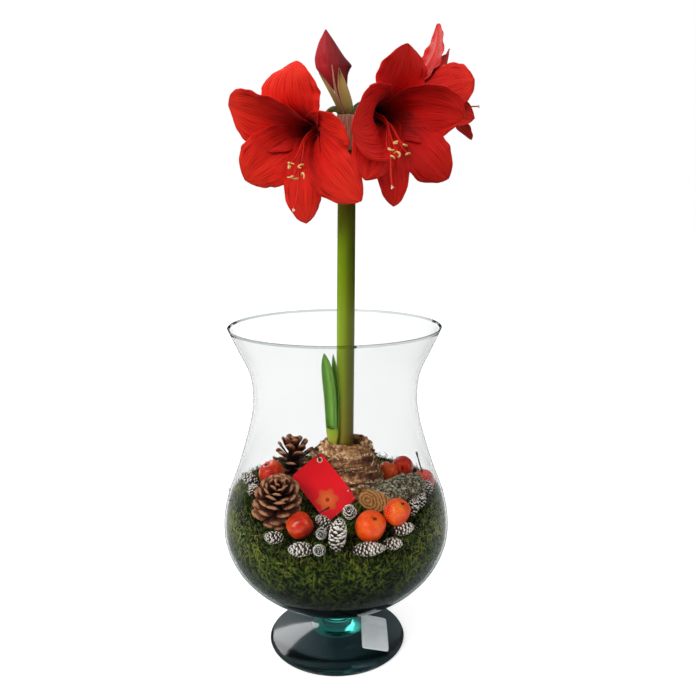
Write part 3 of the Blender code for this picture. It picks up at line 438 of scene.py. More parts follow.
# One strand: a thin bent stem with short leaflets to both sides, 11 mm long, lying along +X. It is
# drawn about twice as coarse as real moss, so that single strands still show.
STEM_HALF = 0.21
STRAND = [(0, 0.0, 0.0), (3, 0.5, 0.5), (6, 0.2, 1.4), (9, -0.6, 1.8), (11, -1.4, 1.6)]
points, faces = [], []
for x, y, z in STRAND[:-1]:
    points += [(x, y - STEM_HALF, z), (x, y + STEM_HALF, z)]
points.append(STRAND[-1])
for k in range(3):
    faces.append((2 * k, 2 * k + 2, 2 * k + 3, 2 * k + 1))
faces.append((6, 8, 7))
for k, x in enumerate((2.2, 3.6, 5.0, 6.4, 7.8, 9.2)):
    for way in (-1, 1):
        y = np.interp(x, [p[0] for p in STRAND], [p[1] for p in STRAND])
        z = np.interp(x, [p[0] for p in STRAND], [p[2] for p in STRAND])
        n = len(points)
        points += [(x - 0.5, y, z), (x + 0.5, y, z), (x + 1.5, y + way * (2.0 - 0.16 * k), z + 0.5)]
        faces.append((n, n + 1, n + 2) if way > 0 else (n + 1, n, n + 2))
strand = piece("one_strand", np.array(points) * MM, faces, moss_green)

scatter = strand_tree()
tops = bpy.data.meshes.new("moss_surface")
rows = [[moss.data.vertices[i * PER + k].co[:] for k in range(1, ROWS)] for i in range(TURNS)]
faces = []
for i in range(TURNS):
    here, there = i * (ROWS - 1), (i + 1) % TURNS * (ROWS - 1)
    faces += [(here + k, here + k + 1, there + k + 1, there + k) for k in range(ROWS - 2)]
tops.from_pydata([p for row in rows for p in row], [], faces)
face_outwards(tops, lambda work: sum(f.normal.z for f in work.faces) < 0)
tops.attributes.new("cover", "FLOAT", "POINT").data.foreach_set("value", [1.0] * len(tops.vertices))
top_strands = grown("moss_strands_top", tops, scatter, {
    "Strand": strand, "Density": 230000.0, "Least Lean": -1.25, "Most Lean": -0.15, "Least Size": 0.3,
    "Most Size": 0.62, "Seed": 11, "Finish": moss_green})
stands_for(top_strands, "moss")

# Strands pressed flat against the inside of the glass, dense above and thin towards the bottom
lining = bpy.data.meshes.new("glass_lining")
SPOTS, LEVELS = 96, 30
points, cover = [], []
for i in range(SPOTS):
    a = 2 * math.pi * i / SPOTS
    top = moss_height(120 * math.cos(a), 120 * math.sin(a)) + 1.0
    for z in np.linspace(63, top, LEVELS):
        r = glass_inside(z) - 1.0
        points.append((r * MM * math.cos(a), r * MM * math.sin(a), z * MM))
        cover.append(min(1.0, max(0.12, (z - 66) / 50)))
lining.from_pydata(points, [], [
    (i * LEVELS + k, (i + 1) % SPOTS * LEVELS + k, (i + 1) % SPOTS * LEVELS + k + 1, i * LEVELS + k + 1)
    for i in range(SPOTS) for k in range(LEVELS - 1)])
lining.attributes.new("cover", "FLOAT", "POINT").data.foreach_set("value", cover)
glass_strands = grown("moss_strands_glass", lining, scatter, {
    "Strand": strand, "Density": 142000.0, "Least Lean": -0.1, "Most Lean": 0.12, "Least Size": 0.4,
    "Most Size": 0.85, "Seed": 12, "Finish": moss_green})
for v in glass_strands.data.vertices:
    flat = Vector((v.co.x, v.co.y, 0))
    limit = (glass_inside(v.co.z / MM) - 0.35) * MM
    if flat.length > limit:
        v.co -= flat.normalized() * (flat.length - limit)
stands_for(glass_strands, "moss")
bpy.data.objects.remove(strand)

# Bulb: a flowering-size bulb wrapped in dry brown tunics, half sunk in the moss. The outer skins
# are split, ragged and peeling in bands, with an open neck from which the stalk comes.

# where the stalk and the leaves stand in the neck
STALK_FOOT, LEAF_FOOT = (10.6, 0.0), (-3.2, -6.6)
# centre along X, radius and height in mm, up the outside and then down into the neck
BULB_BODY = [
    (16, 12, 150.6), (16, 25, 152.6), (16, 33.0, 160), (16.2, 37.0, 174), (16.2, 38.0, 190),
    (16, 35.6, 206), (15.2, 30.4, 221), (13.6, 26.8, 233), (12.8, 25.2, 241), (12.7, 24.2, 247),
    (12.7, 21.8, 246.6), (12.7, 21.6, 236.0),
]


def loft(name, rings, mat, sharp=60, cap=True):
    """One closed body through rings of like point counts, with a fan at each end."""
    rings = [np.asarray(r, float) for r in rings]
    n, count = len(rings[0]), len(rings)
    points = np.concatenate(rings + ([rings[0].mean(0)[None], rings[-1].mean(0)[None]] if cap else []))
    faces, uvs = [], []
    for k in range(count - 1):
        for i in range(n):
            j = (i + 1) % n
            faces.append((k * n + i, k * n + j, (k + 1) * n + j, (k + 1) * n + i))
            u, w, v, t = i / n, (i + 1) / n, k / (count - 1), (k + 1) / (count - 1)
            uvs.append([(u, v), (w, v), (w, t), (u, t)])
    for i in range(n if cap else 0):
        j = (i + 1) % n
        faces += [(count * n, j, i), (count * n + 1, (count - 1) * n + i, (count - 1) * n + j)]
        uvs += [[(0.5, 0.0)] * 3, [(0.5, 1.0)] * 3]
    obj = piece(name, points, faces, mat, uvs=uvs, sharp=sharp)
    face_outwards(obj.data, lambda work: cap and work.calc_volume(signed=True) < 0)
    return obj


def blades(name, grids, thick, mat, sharp=60):
    """Thin blades as one object: each grid's open surface, thickened to both sides. The map runs
    across the blade in U and along it in V."""
    points, faces, uvs = [], [], []
    for grid in grids:
        stations, columns = grid.shape[:2]
        start = len(points)
        points += [tuple(p) for p in grid.reshape(-1, 3)]
        for j in range(stations - 1):
            for m in range(columns - 1):
                a = start + j * columns + m
                faces.append((a, a + 1, a + columns + 1, a + columns))
                u, w = m / (columns - 1), (m + 1) / (columns - 1)
                v, t = j / (stations - 1), (j + 1) / (stations - 1)
                uvs.append([(u, v), (w, v), (w, t), (u, t)])
    obj = piece(name, points, faces, mat, uvs=uvs, sharp=sharp)
    shell = obj.modifiers.new("thickness", "SOLIDIFY")
    shell.thickness = thick
    shell.offset = 0.0
    return applied(obj)


# Dry tunic skin: chestnut to tan in bands of about 7 mm, with finer veins, and a dull satin
skin, tree, shader = surface("dry_bulb_skin")
coords = add(tree, "ShaderNodeTexCoord").outputs["Object"]
wide = add(tree, "ShaderNodeMapping", {"Vector": coords, "Scale": (1.0, 1.0, 0.35)})
bands = add(tree, "ShaderNodeMapping", {
    "Vector": coords, "Scale": (0.16, 0.16, 1.0), "Rotation": (0.0, 0.12, 0.0)})
veins = add(tree, "ShaderNodeTexNoise", {"Vector": wide, "Scale": 260.0, "Detail": 4.0, "Roughness": 0.7})
flakes = add(tree, "ShaderNodeTexNoise", {"Vector": bands, "Scale": 150.0, "Detail": 6.0, "Distortion": 0.5})
both = add(tree, "ShaderNodeMix", {
    0: 0.6, 2: veins.outputs["Fac"], 3: flakes.outputs["Fac"]}, data_type="FLOAT")
colour = add(tree, "ShaderNodeValToRGB", {"Fac": both}, stops=[
    (0.36, "2A1410"), (0.45, "623827"), (0.52, "98663F"), (0.58, "C69C6C"), (0.68, "ECD6B2")])
bump = add(tree, "ShaderNodeBump", {"Height": both, "Strength": 0.55, "Distance": 0.0012})
feed(tree, shader, {"Base Color": colour, "Roughness": 0.62, "Normal": bump, "Specular IOR Level": 0.35})


def shoulder(a, z):
    """Share of the loose skins' bulge, which stands at the left below the neck."""
    return math.exp(-((abs(a) % (2 * math.pi) - math.pi) / 0.7) ** 2 - ((z - 231) / 11) ** 2)


# Torn inner skin: cream and fawn like old paper, grained about 3 mm apart, and duller
pale_skin, tree, shader = surface("torn_bulb_paper")
coords = add(tree, "ShaderNodeTexCoord").outputs["Object"]
grain = add(tree, "ShaderNodeTexNoise", {"Vector": coords, "Scale": 330.0, "Detail": 4.0})
colour = add(tree, "ShaderNodeValToRGB", {"Fac": grain.outputs["Fac"]}, stops=[
    (0.38, "6A3F2C"), (0.46, "B58A5E"), (0.56, "E2C698"), (0.66, "F6E8CC")])
feed(tree, shader, {"Base Color": colour, "Roughness": 0.7, "Specular IOR Level": 0.25})

OUTER_ROWS = 60
body = smooth_path(BULB_BODY[:10], OUTER_ROWS)
body = np.concatenate([body, smooth_path(BULB_BODY[9:], 8)[1:]])
rings = []
for k, (cx, r, z) in enumerate(body):
    at_rim = OUTER_ROWS - 8 <= k <= OUTER_ROWS + 4
    ring = []
    for i in range(96):
        a = 2 * math.pi * i / 96
        c, s = math.cos(a), math.sin(a)
        fold = 1.1 * noise.noise(Vector((c * 2.4, s * 2.4, z / 26)))
        fold += 0.5 * noise.noise(Vector((c * 8, s * 8, z / 9)))
        ragged = 2.6 * noise.noise(Vector((c * 3.5, s * 3.5, 9))) if at_rim else 0.0
        grip = 0.0 if k < 2 else 1.0
        fold += 7.0 * shoulder(a, z) if k < OUTER_ROWS else 0.0
        ring.append(((cx + (r + fold * grip) * c) * MM, (r + fold * grip) * s * MM, (z + ragged) * MM))
    rings.append(ring)
bulb = loft("bulb_body", rings, skin)
stands_for(bulb, "bulb_tunic", "bulb")


def bulb_at(z):
    """Centre and radius of the bulb in mm at a height in mm."""
    centres, radii, heights = body[:OUTER_ROWS].T
    return np.interp(z, heights, centres), np.interp(z, heights, radii)


# Broad flaps cover the bulb from below upwards, then narrow strips lie about its upper half; each
# starts one golden angle, in radians, further round than the last
FLAPS, STRIPS, SHREDS, GOLDEN = 70, 160, 60, 2.399
rng = random.Random(21)
flaps, strips = [], []
for k in range(FLAPS + STRIPS):
    strip = k >= FLAPS
    if strip:
        low, tall = rng.uniform(186, 243), rng.uniform(0.9, 5.5)
    else:
        low = 158 + 84 * (k / FLAPS) ** 0.9 + rng.uniform(-3, 3)
        tall = rng.uniform(8, 24) * (0.6 if low > 226 else 1.0)
    a0 = k * GOLDEN + rng.uniform(-0.3, 0.3)
    half = rng.uniform(0.12, 0.8) if strip else rng.uniform(0.3, 0.95)
    lift, peel = rng.uniform(0.3, 1.1), rng.choice([0.6, 1.2, 2.2, 4.0])
    loose, slope = rng.uniform(0.5, 1.0), rng.uniform(-8, 8) if strip else 0.0
    seed = rng.uniform(0, 50)
    grid = np.zeros((9, 25, 3))
    for j in range(9):
        for m in range(25):
            u, v = m / 24 * 2 - 1, j / 8
            a = a0 + half * u
            top = tall * (0.75 + 0.5 * noise.noise(Vector((u * 3.0, seed, 1)))) * (1 - 0.55 * u * u)
            foot = 3.5 * noise.noise(Vector((u * 2.2, seed, 7)))
            foot = 0.3 * foot if strip else foot
            z = low + foot + (top - foot) * v + slope * u
            cx, r = bulb_at(min(z, 246))
            out = lift + peel * max(0, v - 0.5) ** 2 * 4 * (0.5 + 0.8 * noise.noise(Vector((u * 4, seed, 3))))
            out += 0.5 * noise.noise(Vector((u * 9, v * 4, seed)))
            out += (6 + 8 * loose) * shoulder(a, z)
            out += 4.0 * loose * abs(noise.noise(Vector((u * 2, seed, 5)))) if strip else 0.0
            r += max(out, 0.15)
            grid[j, m] = ((cx + r * math.cos(a)) * MM, r * math.sin(a) * MM, z * MM)
    (strips if strip and k % 2 else flaps).append(grid)
# Shreds of the inner skins stand up between the neck's rim and the stalk
for k in range(SHREDS):
    a0, half, tall = k * GOLDEN, rng.uniform(0.2, 0.5), rng.uniform(7, 12)
    share, lean, seed = rng.uniform(0.66, 0.98), rng.uniform(0.5, 3.5), rng.uniform(0, 50)
    cx, r = bulb_at(238)
    middle = (cx + r * share * math.cos(a0), r * share * math.sin(a0))
    if math.dist(middle, STALK_FOOT) < 13.5 or math.dist(middle, LEAF_FOOT) < 10:
        continue
    grid = np.zeros((6, 9, 3))
    for j in range(6):
        for m in range(9):
            u, v = m / 8 * 2 - 1, j / 5
            a = a0 + half * u * (1 - 0.5 * v)
            out = r * share - lean * v * v + 0.8 * noise.noise(Vector((u * 2, v * 3, seed)))
            z = 236 + tall * v * (0.8 + 0.5 * noise.noise(Vector((u * 3, seed, 2))))
            grid[j, m] = ((cx + out * math.cos(a)) * MM, out * math.sin(a) * MM, z * MM)
    (strips if k % 2 else flaps).append(grid)
SKIN_THICK = 0.25
stands_for(blades("bulb_tunics", flaps, SKIN_THICK * MM, skin), "bulb_tunic")
stands_for(blades("bulb_torn_strips", strips, SKIN_THICK * MM, pale_skin), "bulb_tunic")

# Stalk: the hollow round scape, smooth and waxy, green with a paler foot where the light has
# not reached it.

# place along X, height and radius in mm
SCAPE = [
    (STALK_FOOT[0], 236.4, 9.6), (10.7, 262, 9.8), (12.0, 370, 9.9), (13.6, 500, 9.6), (14.6, 588, 9.4),
    (14.6, 598.5, 10.2), (14.6, 601.5, 10.6),
]


def unit(v):
    """The vector at unit length."""
    v = np.asarray(v, float)
    return v / np.linalg.norm(v)


def tube_rings(path, radii, sides, level=False, end=None):
    """Rings square to the path, carried along it without twist; a level start stands flat and
    an end direction squares the last ring to it."""
    tangents = np.gradient(path, axis=0)
    if level:
        tangents[0] = (0, 0, 1)
    if end is not None:
        tangents[-1] = end
    side = unit(np.cross(tangents[0], (0.13, 0.9, 0.41)))
    rings = []
    for p, t, r in zip(path, tangents, radii):
        t = unit(t)
        side = unit(side - t * side.dot(t))
        up = np.cross(t, side)
        angles = np.arange(sides) * 2 * math.pi / sides
        rings.append(p + r * (np.outer(np.cos(angles), side) + np.outer(np.sin(angles), up)))
    return rings


def waxy_green(name, stops, low, high):
    """Living green tissue: smooth, with a soft waxy shine. Its colour runs with height, with faint lengthwise
    streaks, drawn wider than real fibres at about 2.5 mm, and painted light and shade make it paler to the
    left and darker to the right."""
    mat, tree, shader = surface(name)
    coords = add(tree, "ShaderNodeTexCoord").outputs["Object"]
    place = add(tree, "ShaderNodeSeparateXYZ", {"Vector": coords})
    height = add(tree, "ShaderNodeMapRange", {"Value": place.outputs["Z"], "From Min": low, "From Max": high})
    long = add(tree, "ShaderNodeMapping", {"Vector": coords, "Scale": (1.0, 1.0, 0.03)})
    streaks = add(tree, "ShaderNodeTexNoise", {"Vector": long, "Scale": 420.0, "Detail": 3.0})
    shift = add(tree, "ShaderNodeMapRange", {
        "Value": streaks.outputs["Fac"], "To Min": -0.09, "To Max": 0.09})
    mixed = add(tree, "ShaderNodeMath", {0: height, 1: shift}, operation="ADD")
    colour = add(tree, "ShaderNodeValToRGB", {"Fac": mixed}, stops=stops)
    # Painted light and shade: faces turned to the left keep their colour, faces turned to the right are
    # darkened
    side_on = add(tree, "ShaderNodeSeparateXYZ", {
        "Vector": add(tree, "ShaderNodeNewGeometry").outputs["Normal"]})
    side_on = add(tree, "ShaderNodeMapRange", {
        "Value": side_on.outputs["X"], "From Min": -1.0, "From Max": 1.0})
    painted_side_shade = add(tree, "ShaderNodeValToRGB", {"Fac": side_on}, stops=[
        (0.1, "FFFFFF"), (0.4, "E6DEC0"), (0.62, "B9AC84"), (0.9, "A08C72")])
    colour = add(tree, "ShaderNodeMix", {
        0: 1.0, 6: colour, 7: painted_side_shade}, data_type="RGBA", blend_type="MULTIPLY")
    bump = add(tree, "ShaderNodeBump", {
        "Height": streaks.outputs["Fac"], "Strength": 0.12, "Distance": 0.0004})
    feed(tree, shader, {
        "Base Color": colour, "Roughness": 0.4, "Specular IOR Level": 0.25, "Normal": bump,
        "Subsurface Weight": 0.05, "Subsurface Radius": (0.004, 0.006, 0.002), "Subsurface Scale": 0.5})
    return mat


stalk_green = waxy_green("waxy_stalk", [
    (0.0, "94823C"), (0.06, "86841E"), (0.2, "7C9012"), (0.6, "72900C"), (1.0, "84860E")], 0.236, 0.602)
path = smooth_path([(x, 0.0, z) for x, z, r in SCAPE], 50) * MM
radii = np.interp(path[:, 2], [z * MM for x, z, r in SCAPE], [r * MM for x, z, r in SCAPE])
stands_for(loft("stalk", tube_rings(path, radii, 40, level=True), stalk_green), "stalk", "scape")

# Sheath and leaves: a pale collar at the stalk's foot, and three young strap leaves that stand
# against the stalk, each a thick blade cupped along its middle.

LEAF_SIDE = np.array([0.84, -0.54, 0.0])
LEAF_IN = np.array([0.54, 0.84, 0.0])
SHEATH = np.array([*LEAF_FOOT, 0.0]) * MM
# height, half width and half depth in mm; the last ring is the notched upper rim
SHEATH_RINGS = [
    (236.4, 5.6, 2.4), (242, 6.0, 2.5), (248, 6.4, 2.6), (254, 8.2, 2.8), (260, 8.8, 2.9), (264, 9.0, 2.9)]
sheath_pale = waxy_green("leaf_base", [
    (0.0, "C6BE80"), (0.45, "AEB440"), (0.8, "8CA628"), (1.0, "64921E")], 0.236, 0.266)
turn = np.arange(36) * 2 * math.pi / 36
rings = []
for z, half, deep in SHEATH_RINGS:
    wide, deep = half * MM * np.cos(turn), deep * MM * np.sin(turn)
    ring = SHEATH + np.array([0, 0, z * MM]) + np.outer(wide, LEAF_SIDE) + np.outer(deep, LEAF_IN)
    rings.append(ring)
rings[-1][:, 2] += 0.9 * MM * (np.cos(2 * turn + 0.6) - 1)
stands_for(loft("sheath", rings, sheath_pale), "sheath", "leaf_sheath")


def veins_along(tree, stretch, scale, detail, roughness=0.5):
    """The place on a blade's own map, and fine veins that run the length of the blade."""
    place = add(tree, "ShaderNodeSeparateXYZ", {"Vector": add(tree, "ShaderNodeUVMap", uv_map="UVMap")})
    slow = add(tree, "ShaderNodeMath", {0: place.outputs["Y"], 1: stretch}, operation="MULTIPLY")
    lines = add(tree, "ShaderNodeCombineXYZ", {"X": place.outputs["X"], "Y": slow})
    veins = add(tree, "ShaderNodeTexNoise", {
        "Vector": lines, "Scale": scale, "Detail": detail, "Roughness": roughness})
    return place, veins


# Young strap leaf: fresh green, paler along its middle and lined by fibres drawn half a
# millimetre wide, with a soft waxy shine and some light through it
leaf_green, tree, shader = surface("strap_leaf")
place, streaks = veins_along(tree, 0.08, 36.0, 2.0)
edge = add(tree, "ShaderNodeMath", {0: place.outputs["X"], 1: 0.5}, operation="SUBTRACT")
edge = add(tree, "ShaderNodeMath", {0: edge}, operation="ABSOLUTE")
faint = add(tree, "ShaderNodeMath", {0: streaks.outputs["Fac"], 1: 0.28}, operation="MULTIPLY")
both = add(tree, "ShaderNodeMath", {0: edge, 1: faint}, operation="ADD")
colour = add(tree, "ShaderNodeValToRGB", {"Fac": both}, stops=[
    (0.08, "78A620"), (0.28, "568C14"), (0.5, "3A6C0A"), (0.6, "5E8A20")])
bump = add(tree, "ShaderNodeBump", {"Height": streaks.outputs["Fac"], "Strength": 0.2, "Distance": 0.0004})
feed(tree, shader, {
    "Base Color": colour, "Roughness": 0.4, "Normal": bump, "Subsurface Weight": 0.1,
    "Subsurface Radius": (0.003, 0.005, 0.001), "Subsurface Scale": 0.5})

# width, depth of the cup, bluntness of the tip, and points of the midline in mm
LEAVES = {
    "leaf_front": (16.2, 2.4, 2.6, [
        (-3.9, -7.7, 264.35), (-5.2, -8.6, 300), (-8.4, -7.6, 330), (-12.1, -6, 349)]),
    "leaf_right": (7.4, 1.6, 2.2, [
        (1.0, -7.6, 264.35), (1.2, -6.6, 300), (-0.4, -4.0, 330), (-2.3, -2.6, 347)]),
    "leaf_short": (7.0, 1.4, 1.4, [
        (-5.2, -3.7, 264.35), (-5.6, -3.8, 290), (-5.8, -3.2, 315), (-5.7, -2.4, 336)]),
}
ALONG, ACROSS = 30, 13
for name, (width, cup, point, knots) in LEAVES.items():
    path = smooth_path(knots, ALONG) * MM
    tangents = np.gradient(path, axis=0)
    grid = np.zeros((ALONG, ACROSS, 3))
    for j, x in enumerate(np.linspace(0, 1, ALONG)):
        t = unit(tangents[j])
        s = unit(LEAF_SIDE - t * LEAF_SIDE.dot(t))
        n = np.cross(t, s)
        half = width / 2 * MM * (0.9 + 0.1 * math.sin(math.pi * x)) * max(1 - x ** (2.2 * point), 0.06)
        for m, v in enumerate(np.linspace(-1, 1, ACROSS)):
            lift = cup * MM * (v * v - 0.35) * (1 - x ** 4)
            grid[j, m] = path[j] + s * half * v - n * lift
    leaf = blades(name + "_blade", [grid], 1.3 * MM, leaf_green)
    stands_for(leaf, "leaf", name)

# Blooms: three open flowers of six tepals each, three outer and three inner, which flare from a
# short tube. A tepal is thin and velvety, with fine veins from throat to tip and a ruffled rim.

# base of the tube, the way it faces, and tepals: clock angle, length, width, flare, sweep, twist
BLOOMS = {
    "left": ((-16, -3, 586.5), (-24, -12), [
        (-14, 85, 72, 126, -32, -12), (-60, 106, 62, 120, 15, -22), (-120, 100, 60, 112, 5, -10),
        (171, 112, 42, 112, -16, -20), (130, 116, 54, 114, -8, -8), (98, 70, 58, 98, -6, 0)]),
    "right": ((39, -9, 600), (28, -4), [
        (9, 87, 68, 88, 8, 18), (77, 100, 62, 86, -30, 20), (142, 113, 54, 110, 18, 10),
        (191, 115, 36, 122, 30, 20), (-140, 98, 54, 94, 20, 10), (-117, 96, 80, 74, -28, -10)]),
    "back": ((66, 42, 623), (107, 12), [
        (-6, 99, 46, 81, -24, 0), (49, 112, 50, 54, 0, 0), (112, 102, 50, 52, 0, 0),
        (170, 108, 54, 60, -6, 0), (-135, 90, 50, 62, 0, 0), (-93, 97, 48, 86, -5, 0)]),
}
TUBE_RADIUS, TEPAL_THICK = 5.5, 0.6
THROAT_ANGLE, FLARE_POWER = 8, 1.1
TEPAL_WIDEST, TEPAL_POINT = 0.58, 0.7
ROLL_OUTER, ROLL_INNER = 6.0, 0.5


def facing(az, el):
    """Direction at an angle round from the front, to the right, and an angle up."""
    a, e = math.radians(az), math.radians(el)
    return np.array([math.sin(a) * math.cos(e), -math.cos(a) * math.cos(e), math.sin(e)])


def tepal_grid(
        base, axis, clock, length, width, flare, sweep, twist, outer, seed, stations=44, columns=27):
    """Points of one tepal in mm: its midline leaves the tube and bends outwards, its section
    curves about the bloom's axis and flattens towards the ruffled rim."""
    up = unit(np.array([0, 0, 1.0]) - axis * axis[2])
    right = np.cross(up, axis)
    c = math.radians(clock)
    er = unit(up * math.cos(c) + right * math.sin(c))
    et = np.cross(axis, er)
    last = 399
    fine = np.linspace(0, 1, last + 1)
    th = math.radians(THROAT_ANGLE) + math.radians(flare - THROAT_ANGLE) * fine ** FLARE_POWER
    sw = math.radians(sweep) * fine ** 1.5
    step = length / last
    along = np.concatenate([[0], np.cumsum(np.cos(th[:-1]) * step)])
    away = TUBE_RADIUS + (0.8 if outer else -0.8)
    away = away + np.concatenate([[0], np.cumsum(np.sin(th[:-1]) * np.cos(sw[:-1]) * step)])
    aside = np.concatenate([[0], np.cumsum(np.sin(th[:-1]) * np.sin(sw[:-1]) * step)])
    swell = TEPAL_POINT * TEPAL_WIDEST / (1 - TEPAL_WIDEST)
    top = TEPAL_WIDEST ** swell * (1 - TEPAL_WIDEST) ** TEPAL_POINT
    roll = ROLL_OUTER if outer else ROLL_INNER
    v = np.linspace(-1, 1, columns)
    grid = np.zeros((stations, columns, 3))
    for j, s in enumerate(np.linspace(0, 1, stations)):
        x = 1 - (1 - s) ** 1.35
        i = min(int(x * last), last)
        half = width / 2 * x ** swell * (1 - x) ** TEPAL_POINT / top + 5 * (1 - x) ** 3
        half = max(half, 0.35)
        uneven = []
        for w in v:
            edge = Vector((x * 7, seed, 3 * math.copysign(1, w)))
            uneven.append(1 + (0.07 * noise.noise(edge) + 0.035 * noise.noise(3.4 * edge)) * abs(w))
        outward = er * math.cos(sw[i]) + et * math.sin(sw[i])
        tangent = unit(axis * math.cos(th[i]) + outward * math.sin(th[i]))
        side = unit(et - tangent * np.dot(et, tangent))
        normal = np.cross(side, tangent)
        if np.dot(normal, axis * math.sin(th[i]) - outward * math.cos(th[i])) < 0:
            normal = -normal
        t = math.radians(twist) * x
        side, normal = side * math.cos(t) + normal * math.sin(t), normal * math.cos(t) - side * math.sin(t)
        bend = away[i] * (1 + x * x) + 1
        middle = base + along[i] * axis + away[i] * er + aside[i] * et
        angle = np.clip(v * half * uneven / bend, -2.4, 2.4)
        phase = 2 * math.pi * (2.2 * x + 0.7 + clock / 97 + 0.35 * np.sign(v))
        lift = 2.2 * np.sin(phase) * np.abs(v) ** 2.5 * 4 * x * (1 - x)
        lift += 1.3 * np.sin(3.1 * phase + seed) * np.abs(v) ** 4 * 4 * x * (1 - x)
        lift -= 1.2 * np.exp(-((v / 0.16) ** 2)) * math.sin(math.pi * x)
        lift -= roll * np.abs(v) ** 3 * math.sin(math.pi * x ** 1.3)
        lift += [0.8 * x * noise.noise(Vector((x * 5, w * 4 + 9 * seed, clock))) for w in v]
        sides = bend * np.sin(angle)
        rises = bend * (1 - np.cos(angle)) + lift
        grid[j] = middle + np.outer(sides, side) + np.outer(rises, normal)
    return grid * MM


def velvet(name, throat, deep, mid, bright):
    """A red tepal: dark in the throat, lighter outwards, with lengthwise veins less than a
    millimetre apart and a soft velvety sheen; light comes through it a little."""
    mat, tree, shader = surface(name)
    place, veins = veins_along(tree, 0.045, 88.0, 0.6)
    coords = add(tree, "ShaderNodeTexCoord").outputs["Object"]
    clouds = add(tree, "ShaderNodeTexNoise", {"Vector": coords, "Scale": 38.0, "Detail": 2.0})
    shift = add(tree, "ShaderNodeMapRange", {"Value": clouds.outputs["Fac"], "To Min": -0.16, "To Max": 0.16})
    reach = add(tree, "ShaderNodeMath", {0: place.outputs["Y"], 1: shift}, operation="ADD")
    body = add(tree, "ShaderNodeValToRGB", {"Fac": reach}, stops=[
        (0.03, throat), (0.2, deep), (0.42, mid), (0.8, bright)])
    dark = add(tree, "ShaderNodeValToRGB", {"Fac": veins.outputs["Fac"]}, stops=[
        (0.32, "BFA0A0"), (0.44, "EEE0E0"), (0.56, "FFFFFF")])
    colour = add(tree, "ShaderNodeMix", {0: 1.0, 6: body, 7: dark}, data_type="RGBA", blend_type="MULTIPLY")
    bump = add(tree, "ShaderNodeBump", {"Height": veins.outputs["Fac"], "Strength": 0.35, "Distance": 0.0007})
    feed(tree, shader, {
        "Base Color": colour, "Roughness": 0.55, "Normal": bump, "Specular IOR Level": 0.2,
        "Sheen Weight": 0.04, "Sheen Roughness": 0.4, "Subsurface Weight": 0.15,
        "Subsurface Radius": (0.006, 0.0012, 0.0008), "Subsurface Scale": 0.6})
    return mat


REDS = {
    "left": velvet("velvet_scarlet_tepal", "5E0408", "B4110C", "E22015", "F63422"),
    "right": velvet("velvet_crimson_tepal", "220105", "A00C0B", "D81713", "EC281E"),
    "back": velvet("velvet_back_tepal", "3A0307", "A81211", "D0201A", "EC3428"),
}
SLOTS = {"left": "tepal_scarlet", "right": "tepal_crimson", "back": "tepal_crimson"}
for side, (base, turn, tepals) in BLOOMS.items():
    base, axis = np.array(base, float), facing(*turn)
    grids = [
        tepal_grid(base, axis, *shape, k % 2 == 0, k + len(side)) for k, shape in enumerate(tepals)]
    bloom = blades("tepals_" + side, grids, TEPAL_THICK * MM, REDS[side])
    stands_for(bloom, SLOTS[side], "bloom_" + side)
    path = np.array([base + axis * d for d in (-0.6, 1, 3, 5)]) * MM
    tube = tube_rings(path, [5.2 * MM, 5.6 * MM, 6.0 * MM, 6.4 * MM], 24)
    stands_for(loft("tube_" + side, tube, REDS[side]), SLOTS[side])

# Stamens and styles: six curved red filaments with golden anthers, and a longer style that ends
# in a small pale stigma. They lean down in the lower half of each bloom.

# tips in mm from the tube's base: along the bloom's axis, to its right and up; the style is last
STAMENS = {
    "left": [
        (85, 7, -24), (79, 7, -21), (76, 15, -23), (82, 20, -29), (87, 13, -32), (81, 15, -35),
        (108, 20, -59)],
    "right": [
        (86, -30, -33), (92, -29, -40), (86, -23, -27), (91, -22, -35), (93, -14, -30), (97, -13, -37),
        (112, -39, -66)],
    "back": [
        (78, 4, -14), (82, -4, -10), (80, 8, -8), (74, -1, -18), (72, 9, -16), (85, 4, -3),
        (100, 3, -26)],
}
# Fresh filament: smooth clear red with a moist shine
filament_red, tree, shader = surface("filament")
feed(tree, shader, {
    "Base Color": tone("D3261C"), "Roughness": 0.42, "Subsurface Weight": 0.15,
    "Subsurface Radius": (0.004, 0.001, 0.001)})
# Ripe anther: golden and powdery. Its pollen is drawn at 0.7 mm, far coarser than it is, to show.
pollen_gold, tree, shader = surface("pollen_anther")
grain = add(tree, "ShaderNodeTexNoise", {
    "Vector": add(tree, "ShaderNodeTexCoord").outputs["Object"], "Scale": 1400.0, "Detail": 2.0})
colour = add(tree, "ShaderNodeValToRGB", {"Fac": grain.outputs["Fac"]}, stops=[
    (0.35, "B9842F"), (0.5, "E2B866"), (0.66, "F6E0A6")])
bump = add(tree, "ShaderNodeBump", {"Height": grain.outputs["Fac"], "Strength": 0.6, "Distance": 0.0003})
feed(tree, shader, {"Base Color": colour, "Roughness": 0.85, "Normal": bump})
# Stigma: cream, soft and dull
stigma_pale, tree, shader = surface("stigma")
feed(tree, shader, {"Base Color": tone("F3DFCF"), "Roughness": 0.55})


def joined(name, objects):
    """Several mesh objects as one, with their finishes kept."""
    bpy.context.view_layer.update()
    for o in bpy.context.scene.objects:
        o.select_set(o in objects)
    bpy.context.view_layer.objects.active = objects[0]
    with bpy.context.temp_override(
            active_object=objects[0], selected_editable_objects=objects, selected_objects=objects):
        bpy.ops.object.join()
    objects[0].name = name
    objects[0].data.name = name
    return objects[0]


